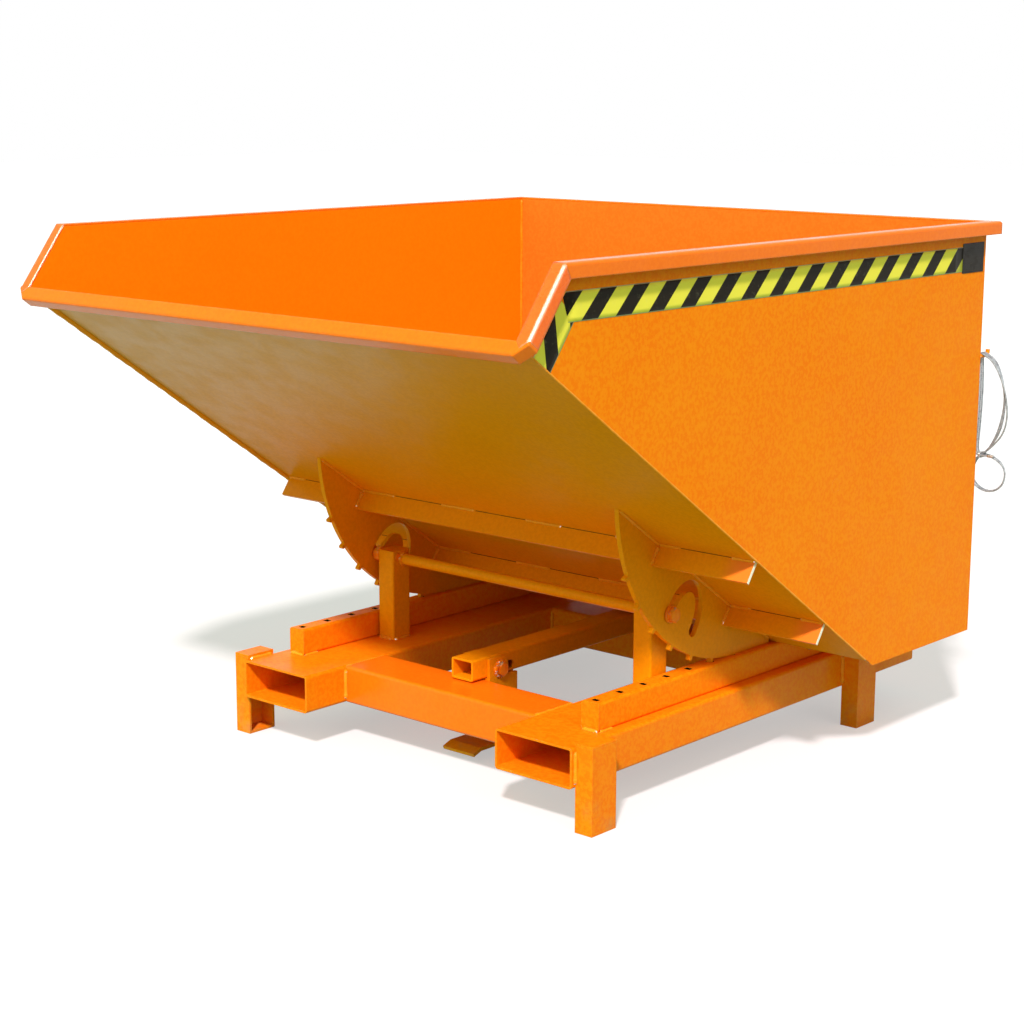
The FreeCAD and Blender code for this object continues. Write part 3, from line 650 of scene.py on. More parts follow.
@dataclass
class Finishes:
    """All materials, built once."""

    hopper: Material = built(PaintFinish("hopper_paint", shine=0.04))
    # Painted shade: the slope's underside is a darker, yellower copy of the orange than the walls.
    slope: Material = built(PaintFinish("slope_shade_paint", (0.89, 0.285, 0.003), (0.82, 0.25, 0.002), shine=0.11,
                                        fades=True))
    # Painted light: the rim and the front cross tube, which face the key light more squarely, get a redder
    # copy of the orange to offset it.
    rim: Material = built(PaintFinish("rim_lit_paint", (0.99, 0.195, 0.005), (0.96, 0.175, 0.004), gloss=0.2,
                                      shine=0.13, edge=0.004))
    # Painted light: the left wall gets a redder copy of the orange for light bounced inside the hopper.
    left: Material = built(PaintFinish("left_lit_paint", (0.99, 0.25, 0.003), (0.97, 0.228, 0.002), shine=0.03))
    # Painted light and sheen: the rear wall gets a redder copy of the orange for bounced light, with a bluish
    # tone as painted sheen.
    rear: Material = built(PaintFinish("rear_sheen_paint", (0.99, 0.208, 0.018), (0.94, 0.175, 0.013), shine=0.06))
    # Painted sheen: the slanted rim gets a pinker copy of the orange, and its wide rounded edges spread the
    # paler worn-edge colour as painted sheen as well as wear.
    slant: Material = built(PaintFinish("slant_sheen_paint", (0.99, 0.165, 0.012), (0.96, 0.14, 0.008), gloss=0.3,
                                        shine=0.3, edge=0.008, chipped=0.0, coat=1.0))
    # Painted shade: the stiffening bars under the slope get a yellower copy of the orange.
    bar: Material = built(PaintFinish("bar_shade_paint", (0.93, 0.285, 0.003), (0.86, 0.25, 0.002), shine=0.1,
                                      end_light=True))
    # Painted shade: rockers, posts, tie bar and lock parts, which sit in shade, get a yellower copy of the
    # orange.
    shaded: Material = built(PaintFinish("frame_shade_paint", (0.93, 0.31, 0.003), (0.86, 0.275, 0.002),
                                         shine=0.04))
    base: Material = built(PaintFinish("base_paint", chipped=0.6, shine=0.07))
    # Painted shade: the weld beads get the same yellower, ochre copy of the orange as the shaded pieces.
    bead: Material = built(PaintFinish("bead_shade_paint", (0.96, 0.31, 0.006), (0.9, 0.27, 0.004),
                                       (0.98, 0.4, 0.06), edge=0.0004, chipped=0.0, shine=0.1,
                                       bare_ends=0.008))
    seam: Material = built(PaintFinish("seam_paint", edge=0.0004, chipped=0.0, shine=0.08, bare_ends=0.006))
    bare: Material = built(PaintFinish("bare_bead", edge=0.0004, chipped=0.0, shine=0.1, bare_ends=0.09))
    worn: Material = built(PaintFinish("worn_paint", gloss=0.36, edge=0.004, chipped=1.6))
    zinc: Material = built(MetalFinish("worn_zinc"))
    rope: Material = built(MetalFinish("galvanised_wire", (0.43, 0.48, 0.57), (0.19, 0.21, 0.26), 0.36,
                                       700.0, 0.25))
    plate: Material = built(FilmFinish("black_plate_film"))
    # Painted shade: dark lines laid in the gaps between the bars' stitches.
    gap: Material = built(FilmFinish("gap_shade_film", (0.16, 0.05, 0.003), (0.2, 0.07, 0.005), 0.8))


# Weld beads


@dataclass
class Bead:
    """A fillet weld carried along a path in the corner of two faces.

    A section at distance s has a face point for each share t from 0 to 1: the path, plus the leg length
    times (1 - t) along one face and t along the other, plus a crown times the sine of half a turn of t. The
    leg swells with the ripples, a crescent for each drop of weld metal, and closes in at both ends.

    Attributes:
        path: points along the corner.
        one: direction along the first face, away from the corner.
        other: direction along the second face.
        leg: leg length in metres.
        crown: height of the crown as a share of the leg.
    """

    path: Array
    one: Array
    other: Array
    leg: float
    crown: float = 0.22

    STEP, PITCH, ROOT = 0.0016, 0.0058, 0.0008
    SWAYS = (0.017, 0.0061)
    MIXED = np.array([37.0, 53.0, 71.0])
    FACE_POINTS = 6

    @classmethod
    def straight(cls, start: Vec, end: Vec, one: Vec, other: Vec, leg: float, crown: float = 0.22) -> "Bead":
        """A bead between two points.

        Args:
            start: its first point.
            end: its last point.
            one: direction along the first face.
            other: direction along the second face.
            leg: leg length.
            crown: height of the crown as a share of the leg.

        Returns:
            The bead.
        """
        first, last = np.array(start, float), np.array(end, float)
        count = max(6, math.ceil(float(np.linalg.norm(last - first)) / cls.STEP))
        share = np.linspace(0, 1, count)[:, None]
        faces = (unit(np.array(way, float)) for way in (one, other))
        return cls(first + (last - first) * share, *faces, leg, crown)

    @classmethod
    def stitches(cls, start: Vec, end: Vec, one: Vec, other: Vec, length: float, count: int,
                 leg: float) -> list["Bead"]:
        """Short beads spread evenly between two points.

        Args:
            start: the first bead's start.
            end: the last bead's end.
            one: direction along the first face.
            other: direction along the second face.
            length: length of each bead.
            count: how many there are.
            leg: leg length.

        Returns:
            The beads.
        """
        first, last = np.array(start, float), np.array(end, float)
        whole = float(np.linalg.norm(last - first))
        run = (last - first) / whole
        return [cls.straight(first + run * at, first + run * (at + length), one, other, leg)
                for at in np.linspace(0, whole - length, count)]

    @classmethod
    def round(cls, centre: Vec, radius: float, axis: Vec, leg: float) -> "Bead":
        """A bead round the root of a bar that stands on a face.

        Args:
            centre: where the bar's axis meets the face.
            radius: the bar's radius.
            axis: direction of the bar away from the face.
            leg: leg length.

        Returns:
            The bead, whose first face is the standing face.
        """
        away = unit(np.array(axis, float))
        side = unit(np.cross(away, np.array([0.31, 0.52, 0.79])))
        turn = np.linspace(0, TURN, math.ceil(TURN * (radius + leg) / cls.STEP))[:, None]
        out = side * np.cos(turn) + np.cross(away, side) * np.sin(turn)
        return cls(np.array(centre, float) + out * radius, out, np.broadcast_to(away, out.shape), leg)

    def surface(self) -> Surface:
        """The bead's closed skin.

        Returns:
            The surface, wound so that its faces point away from the corner.
        """
        path, leg = self.path, self.leg
        one, other = (np.broadcast_to(way, path.shape) for way in (self.one, self.other))
        distance = distances(path)[:, None, None]
        share = np.linspace(0, 1, self.FACE_POINTS)[None, :, None]
        shift = float(path[0] @ self.MIXED)
        ripple = np.cos(TURN * (distance / self.PITCH - 0.4 * np.sin(math.pi * share)) + shift)
        sway = np.sin(distance / self.SWAYS[0] + shift) + np.sin(distance / self.SWAYS[1] + 2 * shift)
        to_end = np.minimum(distance, distance[-1] - distance)
        taper = 0.25 + 0.75 * np.sqrt(np.clip(to_end / leg, 0, 1))
        lump = 1 + 0.22 * np.exp(-(((distance - 1.5 * leg) / leg) ** 2))
        size = leg * taper * lump * (1 + 0.05 * ripple + 0.045 * sway)
        up = unit(one + other)[:, None, :]
        swell = self.crown * np.sin(math.pi * share) * (1 + 0.35 * ripple)
        across = (1 - share) * one[:, None, :] + share * other[:, None, :]
        face = path[:, None, :] + size * (across + swell * up)
        grid = np.concatenate([face, path[:, None, :] - self.ROOT * up], axis=1)
        if float(np.cross(one[0], other[0]) @ unit(path[1] - path[0])) > 0:
            grid = grid[:, ::-1]
        along = np.broadcast_to(to_end, grid.shape[:2] + (1,))
        flat = np.concatenate([0 * along, along], axis=-1)
        return Surface.from_grid(grid, ring=True, capped=True, flat=flat)


def lay_beads(name: str, body: Body, beads: list[Bead], finish: Material) -> Object:
    """Make one piece of several weld beads, on the body that carries them."""
    return Surface.joined([bead.surface() for bead in beads]).piece(name, body, Slot.PAINT, finish)


# Base


@dataclass
class ForkBase:
    """Welds of the fork pockets, feet, cross tubes, rails and posts.

    Attributes:
        finishes: the materials.
        corner: rounding of the tubes, which upright beads stay clear of.
        inset: distance of a bead from the end of its edge.
        close: the same on small pieces.
        leg: leg length.
        thin: the same on small pieces.
        rail_bead: length of the beads at the rails' ends.
        rail_leg: their leg length.
        bar_leg: leg length round the tie bar.
        ear_leg: leg length at the lock's ears.
        bolt_ring: radius of the bead round the lock's bolt.
        bolt_leg: its leg length.
        top_drop: distance of the feet's top beads below the pocket's top.
        sunk: distance of the cross tubes' level beads from their top and bottom.
        strap_inset: distance of the strap's beads from its ends.
    """

    finishes: Finishes
    corner: float = 0.009
    inset: float = 0.004
    close: float = 0.003
    leg: float = 0.006
    thin: float = 0.005
    rail_bead: float = 0.05
    rail_leg: float = 0.004
    bar_leg: float = 0.0045
    ear_leg: float = 0.0065
    bolt_ring: float = 0.0165
    bolt_leg: float = 0.0055
    top_drop: float = 0.002
    sunk: float = 0.0035
    strap_inset: float = 0.002

    def build(self) -> None:
        """Lay all beads of the base."""
        for name, beads, finish in (("feet", self.feet(), self.finishes.bead),
                                    ("cross_tubes", self.cross_tubes(), self.finishes.bead),
                                    ("rails", self.rails(), self.finishes.bead),
                                    ("posts", self.posts(), self.finishes.bead),
                                    ("lock_ears", self.lock_ears(), self.finishes.bare)):
            lay_beads("welds_" + name, Body.BASE, beads, finish)

    def feet(self) -> list[Bead]:
        """Upright beads between each foot and its pocket, and one along the top.

        Returns:
            The beads.
        """
        beads = []
        for side, word in SIDES:
            pocket = NodeBox.of("fork_pocket_" + word)
            x, top = pocket.face(side), pocket.high[2] - self.top_drop
            low, high = pocket.low[2] + self.corner, pocket.high[2] - self.corner
            for place in ("front", "rear"):
                foot = NodeBox.of(f"foot_{place}_{word}")
                beads += [Bead.straight((x, y, low), (x, y, high), (side, 0, 0), (0, way, 0), self.leg)
                          for y, way in ((foot.low[1], -1), (foot.high[1], 1))]
                near, far = foot.low[1] + self.inset, foot.high[1] - self.inset
                beads.append(Bead.straight((x, near, top), (x, far, top), (-side, 0, 0.25), (0, 0, 1),
                                           self.leg))
        return beads

    def cross_tubes(self) -> list[Bead]:
        """Beads round the ends of the cross tubes.

        Returns:
            The beads.
        """
        beads = []
        for node in ("front_cross_tube", "rear_cross_tube"):
            tube = NodeBox.of(node)
            low, high = tube.low[2] + self.corner, tube.high[2] - self.corner
            near, far = tube.low[1], tube.high[1]
            for side, _ in SIDES:
                x = tube.face(side)
                beads += [Bead.straight((x, y, low), (x, y, high), (-side, 0, 0), (0, way, 0), self.leg)
                          for y, way in ((near, -1), (far, 1))]
                beads += [Bead.straight((x, near + self.inset, z), (x, far - self.inset, z),
                                        (-side, 0, 0.5 * way), (side, 0, 0.3 * way), self.leg)
                          for z, way in ((tube.high[2] - self.sunk, 1), (tube.low[2] + self.sunk, -1))]
        return beads

    def rails(self) -> list[Bead]:
        """A short bead at both sides of the rails' ends and one across each end.

        Returns:
            The beads.
        """
        beads, up = [], (0, 0, 1)
        caps = NodeBox.of("rail_caps")
        near, far = caps.low[1], caps.high[1]
        for _, word in SIDES:
            rail = NodeBox.of("rail_" + word)
            z = rail.low[2]
            beads += [Bead.straight((x, y0 + self.close, z), (x, y1 - self.close, z), up, (way, 0, 0),
                                    self.rail_leg)
                      for x, way in ((rail.low[0], -1), (rail.high[0], 1))
                      for y0, y1 in ((near, near + self.rail_bead), (far - self.rail_bead, far))]
            beads += [Bead.straight((rail.low[0] + self.close, y, z), (rail.high[0] - self.close, y, z), up,
                                    (0, way, 0), self.leg) for y, way in ((near, -1), (far, 1))]
        return beads

    def posts(self) -> list[Bead]:
        """Beads round the posts' feet and the ends of the tie bar, and on the lock's strap.

        Returns:
            The beads.
        """
        beads, up, inset = [], (0, 0, 1), self.close
        bar, strap = NodeBox.of("tie_bar"), NodeBox.of("lock_strap")
        for side, word in SIDES:
            post = NodeBox.of("post_" + word)
            (x0, y0, z), (x1, y1, _) = post.low, post.high
            beads += [Bead.straight((x0 + inset, y, z), (x1 - inset, y, z), up, (0, way, 0), self.leg)
                      for y, way in ((y0, -1), (y1, 1))]
            beads += [Bead.straight((x, y0 + inset, z), (x, y1 - inset, z), up, (way, 0, 0), self.thin)
                      for x, way in ((x0, -1), (x1, 1))]
            end = (bar.face(side), bar.middle[1], bar.middle[2])
            beads.append(Bead.round(end, (bar.high[2] - bar.low[2]) / 2, (-side, 0, 0), self.bar_leg))
            x, z = side * strap.high[0], strap.low[2]
            near, far = strap.low[1] + self.strap_inset, strap.high[1] - self.strap_inset
            beads.append(Bead.straight((x, near, z), (x, far, z), up, (side, 0, 0), self.thin))
        return beads

    def lock_ears(self) -> list[Bead]:
        """Hasty beads between the lock's ears and the cross tube, and round its bolt.

        Returns:
            The beads.
        """
        ear, nut, tube = (NodeBox.of(node) for node in ("lock_ears", "lock_nut", "front_cross_tube"))
        low, high, y = ear.low[2] + self.inset, tube.high[2] - self.corner, tube.high[1]
        beads = [Bead.straight((x, y, low), (x, y, high), (0, 1, 0), (side, 0, 0), self.ear_leg)
                 for side, x in ((-1, -ear.high[0]), (1, ear.high[0]))]
        root = (ear.high[0], nut.middle[1], nut.middle[2])
        beads.append(Bead.round(root, self.bolt_ring, (1, 0, 0), self.bolt_leg))
        return beads


# Hopper


@dataclass
class Hopper:
    """Welds of the hopper: its inside corners, rockers, stiffening bars and rim.

    Attributes:
        finishes: the materials.
        slope_angle: the slope's rise in degrees.
        sheet: thickness of the slope plate.
        bar_thick: thickness of the stiffening bars.
        bar_height: their height.
        leg: leg length.
        stitch_leg: the same in stitches.
        edge_legs: the same along the slope's left and right edge.
        mitre: the same in the rim's closed mitres.
        mitre_sink: depth of their corners below the rim's top.
        low_crown: crown of the mitres and of the slope's edges, as a share of the leg.
        gap_leg: size of the lines of painted shade in open gaps.
        hook_leg: leg length round the hook.
        stitch_rows: number and length of the stitches on a bar's middle and ends.
        floor_stitches: number and length of those under the floor.
        inset: distance of a bead from the end of its edge.
        top_inset: the same below the rear wall's top.
        seam_insets: the same at the slope's foot and lip, inside.
        edge_insets: the same outside.
        upright_insets: the same on the bars, by the slope and at their free edge.
        slant_inset: the same at the slanted rim's mitre.
    """

    finishes: Finishes
    slope_angle: float = 34.55
    sheet: float = 0.005
    bar_thick: float = 0.008
    bar_height: float = 0.05
    leg: float = 0.005
    stitch_leg: float = 0.0045
    edge_legs: tuple[float, float] = (0.008, 0.0035)
    mitre: float = 0.0028
    mitre_sink: float = 0.0016
    low_crown: float = 0.1
    gap_leg: float = 0.0011
    hook_leg: float = 0.003
    stitch_rows: tuple[tuple[int, float], ...] = ((4, 0.11), (2, 0.06), (2, 0.06))
    floor_stitches: tuple[int, float] = (4, 0.07)
    inset: float = 0.004
    top_inset: float = 0.002
    seam_insets: tuple[float, float] = (0.008, 0.03)
    edge_insets: tuple[float, float] = (0.01, 0.04)
    upright_insets: tuple[float, float] = (0.003, 0.001)
    slant_inset: float = 0.001

    def __post_init__(self) -> None:
        """Take the slope's line and the walls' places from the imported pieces."""
        turn = math.radians(self.slope_angle)
        slope, back = NodeBox.of("slope_plate"), NodeBox.of("rear_wall")
        self.run = np.array([0.0, -math.cos(turn), math.sin(turn)])
        self.out = np.array([0.0, -math.sin(turn), -math.cos(turn)])
        self.foot = np.array([0.0, slope.high[1], slope.low[2]])
        self.wall = float(slope.high[0])
        self.rear, self.top = float(back.low[1]), float(back.high[2])
        self.floor = float(NodeBox.of("floor_plate").high[2])
        self.length = (slope.high[2] - slope.low[2]) / math.sin(turn)

    def under(self, x: float, climb: float, drop: float = 0.0) -> Array:
        """A point at a climb up the slope from the floor's front edge, and a drop from its underside."""
        return ACROSS * x + self.foot + self.run * climb + self.out * drop

    def build(self) -> None:
        """Lay all beads of the hopper and the lines of painted shade in its open gaps."""
        bars, gaps = self.bars()
        for name, beads, finish in (("welds_hopper_inside", self.inside(), self.finishes.seam),
                                    ("welds_rockers", self.rockers(), self.finishes.bead),
                                    ("welds_stiffeners", bars, self.finishes.bead),
                                    ("shade_gaps_stiffeners", gaps, self.finishes.gap),
                                    ("welds_hopper_outside", self.outside(), self.finishes.bead)):
            lay_beads(name, Body.HOPPER, beads, finish)

    def inside(self) -> list[Bead]:
        """Beads in the inside corners.

        Returns:
            The beads.
        """
        wall, rear, floor = self.wall, self.rear, self.floor
        beads = [Bead.straight((-wall, rear, floor), (wall, rear, floor), (0, -1, 0), (0, 0, 1), self.leg)]
        for side, _ in SIDES:
            x, inward = side * wall, (-side, 0, 0)
            corner, front = (x, rear, floor), (x, self.foot[1], floor)
            top = (x, rear, self.top - self.top_inset)
            foot, lip = self.seam_insets
            low, high = (self.under(x, climb, -self.sheet) for climb in (foot, self.length - lip))
            beads += [Bead.straight(corner, top, inward, (0, -1, 0), self.leg),
                      Bead.straight(front, corner, inward, (0, 0, 1), self.leg),
                      Bead.straight(low, high, inward, -self.out, self.leg)]
        return beads

    def rockers(self) -> list[Bead]:
        """Long beads between the rockers and the slope.

        Returns:
            The beads.
        """
        beads = []
        for _, word in SIDES:
            rocker = NodeBox.of("rocker_" + word)
            first = (self.foot[1] - rocker.high[1]) / -self.run[1] + self.inset
            last = (rocker.high[2] - self.foot[2]) / self.run[2] - self.inset
            beads += [Bead.straight(self.under(x, first), self.under(x, last), (way, 0, 0), self.out,
                                    self.leg)
                      for x, way in ((rocker.low[0], -1), (rocker.high[0], 1))]
        return beads

    def bars(self) -> tuple[list[Bead], list[Bead]]:
        """Stitches along the stiffening bars, upright beads at the rockers, and painted shade between
        stitches.

        Returns:
            The beads, and the thin lines of painted shade.
        """
        beads, gaps = [], []
        near, far = self.upright_insets
        rocker = NodeBox.of("rocker_right")
        inner, outer = rocker.face(-1), rocker.face(1)
        for level in ("upper", "lower"):
            bar = NodeBox.of(f"stiffener_{level}_middle")
            end = NodeBox.of(f"stiffener_{level}_right").face(1)
            climb = (bar.high[2] - self.foot[2]) / self.run[2]
            spans = ((-inner, inner), (outer, end), (-end, -outer))
            for at, way in ((climb, self.run), (climb - self.bar_thick, -self.run)):
                for (x0, x1), (count, long) in zip(spans, self.stitch_rows):
                    ends = self.under(x0, at), self.under(x1, at)
                    beads += Bead.stitches(*ends, way, self.out, long, count, self.stitch_leg)
                    gaps.append(Bead.straight(*ends, way, self.out, self.gap_leg, 0.0))
                beads += [Bead.straight(self.under(x, at, near), self.under(x, at, self.bar_height - far),
                                        (side, 0, 0), way, self.leg)
                          for x, side in ((inner, -1), (outer, 1), (-inner, 1), (-outer, -1))]
        return beads, gaps

    def outside(self) -> list[Bead]:
        """Stitches under the floor, beads by the slope, one round the hook, and the closed mitres of the rim.

        Returns:
            The beads.
        """
        hook, rim, wall = (NodeBox.of(node) for node in ("cable_hook", "rim_rear", "side_wall_right"))
        radius = (hook.high[0] - hook.low[0]) / 2
        back = NodeBox.of("rear_wall").high[1]
        beads = [Bead.round((hook.middle[0], back, hook.low[2] + radius), radius, (0, 1, 0), self.hook_leg)]
        edge, top = rim.high[0] - self.inset, rim.high[2] - self.mitre_sink
        count, long = self.floor_stitches
        for (side, word), leg in zip(SIDES, self.edge_legs):
            x, outer, inward = side * self.wall, side * wall.high[0], (-side, 0, 0)
            start, end = (x, *self.foot[1:]), (x, self.rear, self.foot[2])
            beads += Bead.stitches(start, end, inward, (0, 0, -1), long, count, self.stitch_leg)
            foot, lip = self.edge_insets
            start, end = self.under(outer, foot), self.under(outer, self.length - lip)
            beads.append(Bead.straight(start, end, inward, self.out, leg, self.low_crown))
            start, end = (x, self.rear, top), (side * edge, rim.high[1] - self.inset, top)
            beads.append(Bead.straight(start, end, (side, -1, 0.35), (-side, 1, 0.35), self.mitre,
                                       self.low_crown))
            y = NodeBox.of("rim_slant_" + word).high[1]
            start, end = (x + side * self.slant_inset, y, top), (side * edge, y, top)
            beads.append(Bead.straight(start, end, (0, -1, 0.1), (0, 1, 0.35), self.mitre, self.low_crown))
        return beads


# Lock


@dataclass
class LockGear:
    """Welds of the sliding lock bar.

    Attributes:
        finishes: the materials.
        bump_half: half the length of the bump plate's bead.
        inset: distance of the tongue's beads from the bar's sides.
        leg: leg length.
    """

    finishes: Finishes
    bump_half: float = 0.027
    inset: float = 0.003
    leg: float = 0.005

    def build(self) -> None:
        """Lay the beads of the tongue and behind the bump plate, which stops close to the saddle in front."""
        bar, bump, tongue = (NodeBox.of(node) for node in ("lock_bar", "bump_plate", "lock_tongue"))
        half, wide = self.bump_half, bar.high[0] - self.inset
        rows = ((half, bump.high[1], bar.low[2], -1), (wide, bar.high[1], tongue.high[2], 1),
                (wide, bar.high[1], tongue.low[2], -1))
        beads = [Bead.straight((-x, y, z), (x, y, z), (0, 1, 0), (0, 0, way), self.leg)
                 for x, y, z, way in rows]
        lay_beads("welds_lock", Body.LOCK, beads, self.finishes.bead)


# Fasteners


@dataclass
class HexPiece:
    """A hexagon head or nut along X with chamfered corners.

    The radius at turn a is half the width across flats over the cosine of the turn from the nearest flat, cut
    off by a cone at the chamfered end.

    Attributes:
        base: centre of the seating face.
        way: direction of the axis away from that face, 1 or -1 along X.
        across: width across flats.
        height: thickness.
        bore: radius of the hole, or 0 for a closed head.
    """

    base: Array
    way: float
    across: float
    height: float
    bore: float = 0.0

    TURNS = 96
    CLOSED = 0.0004

    def ring(self, radius: Array | float, height: float) -> Array:
        """One ring of points at a height.

        Args:
            radius: the radius, or one at each turn.
            height: distance from the seating face.

        Returns:
            The points.
        """
        turn = np.linspace(0, TURN, self.TURNS, endpoint=False) + math.pi / 2
        y, z = radius * np.cos(turn), radius * np.sin(turn) * self.way
        return self.base + np.stack([np.full(self.TURNS, self.way * height), y, z], axis=-1)

    def surface(self) -> Surface:
        """The piece's skin.

        Returns:
            The surface, open in the middle if it has a bore.
        """
        turn, sixth = np.linspace(0, TURN, self.TURNS, endpoint=False), math.pi / 6
        flat, corner = self.across / 2, self.across / 2 / math.cos(sixth)
        hexagon = flat / np.cos(sixth - np.abs((turn + sixth) % (2 * sixth) - sixth))
        hole = max(self.bore, self.CLOSED)
        rings = [self.ring(np.minimum(hexagon, cone), height) for height, cone in self.profile(flat, corner)]
        rings = [self.ring(hole, 0.0), *rings, self.ring(hole, self.height)]
        grid = np.stack(rings)[:, ::-1]
        return Surface.from_grid(grid, ring=True, loop=self.bore > 0, capped=self.bore == 0)

    def profile(self, flat: float, corner: float) -> list[tuple[float, float]]:
        """Heights and cone radii from the seating face to the end.

        Args:
            flat: radius at the flats.
            corner: radius at the corners.

        Returns:
            Pairs of height and greatest radius.
        """
        rise = (corner - flat) * 0.62
        low = 0.05 * self.height
        cut = [(self.height - rise * (1 - share), corner - (corner - flat * 0.94) * share)
               for share in np.linspace(0.0, 1.0, 6)]
        return [(low * 0.2, flat * 0.985), (low, corner), (self.height - rise, corner), *cut,
                (self.height, flat * 0.9)]


@dataclass
class Shank:
    """A round bar along X whose visible end is threaded.

    The radius is the bar's own, less the thread depth times a wave of the distance along it plus the turn, so
    that the grooves run as a screw.
    """

    start: Array
    end: Array
    radius: float
    pitch: float = 0.0025
    depth: float = 0.0006
    chamfer: float = 0.0012

    TURNS = 32

    def surface(self) -> Surface:
        """The bar's skin.

        Returns:
            The surface, closed at both ends.
        """
        length = float(np.linalg.norm(self.end - self.start))
        along = np.linspace(0, length, max(8, math.ceil(length / self.pitch * 6)))[:, None]
        turn = np.linspace(0, TURN, self.TURNS, endpoint=False)[None, :]
        wave = 0.5 + 0.5 * np.cos(TURN * along / self.pitch + turn)
        at_end = (along < 1e-6) | (along > length - 1e-6)
        run = unit(self.end - self.start)
        radius = self.radius - self.depth * wave - self.chamfer * at_end
        return Surface.tube(self.start + run * along, radius, ALONG, np.cross(run, ALONG), self.TURNS)


@dataclass
class Fasteners:
    """Bolts and nuts with chamfered corners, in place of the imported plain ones."""

    finishes: Finishes
    pin_head: float = 0.0125
    pin_across: float = 0.030
    pin_radius: float = 0.01
    nut_across: float = 0.034
    nut_height: float = 0.018
    lock_nut_height: float = 0.016
    rail_across: float = 0.017
    rail_head: float = 0.007

    def build(self) -> None:
        """Make every bolt and nut."""
        for side, word in SIDES:
            pin = NodeBox.of("guide_pin_" + word)
            self.headed("hex_pin_" + word, "guide_pin_" + word, pin.middle, side, pin, Slot.PAINT)
        self.pairs("hex_guide_nuts", "guide_nuts", "post_", self.nut_across, self.nut_height, self.pin_radius,
                   self.finishes.worn, Slot.PAINT)
        self.pairs("hex_rail_bolts", "rail_bolts", "rail_", self.rail_across, self.rail_head, 0.0,
                   self.finishes.zinc, Slot.ZINC)
        nut = NodeBox.of("lock_nut")
        self.headed("hex_lock_bolt", "lock_bolt", nut.middle, 1.0, NodeBox.of("lock_bolt"), Slot.ZINC)
        seat = np.array([nut.high[0], *nut.middle[1:]])
        ring = HexPiece(seat, -1.0, self.pin_across, self.lock_nut_height, self.pin_radius).surface()
        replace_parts(ring.piece("hex_lock_nut", Body.BASE, Slot.ZINC, self.finishes.zinc), "lock_nut")

    def pairs(self, name: str, node: str, seat: str, across: float, height: float, bore: float,
              finish: Material, slot: Slot) -> None:
        """A hexagon on the outer face of a left and a right piece.

        Args:
            name: the new piece's name.
            node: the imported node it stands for.
            seat: start of the names of the pieces that it sits on.
            across: width across flats.
            height: thickness.
            bore: radius of the hole.
            finish: the material.
            slot: the record's slot.
        """
        _, y, z = NodeBox.of(node).middle
        seats = [(side, np.array([NodeBox.of(seat + word).face(side), y, z])) for side, word in SIDES]
        parts = [HexPiece(at, side, across, height, bore).surface() for side, at in seats]
        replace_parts(Surface.joined(parts).piece(name, Body.BASE, slot, finish), node)

    def headed(self, name: str, node: str, axis: Array, side: float, box: NodeBox, slot: Slot) -> None:
        """A headed bolt along X.

        Args:
            name: the new piece's name.
            node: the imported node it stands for.
            axis: a point on its axis.
            side: which way the head looks, -1 or 1.
            box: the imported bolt's box.
            slot: the record's slot.
        """
        end = np.array([box.face(-side), *axis[1:]])
        seat = np.array([box.face(side) - side * self.pin_head, *axis[1:]])
        parts = [HexPiece(seat, side, self.pin_across, self.pin_head).surface(),
                 Shank(end, seat, self.pin_radius).surface()]
        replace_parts(Surface.joined(parts).piece(name, Body.BASE, slot, self.finishes.worn), node)


# Tape


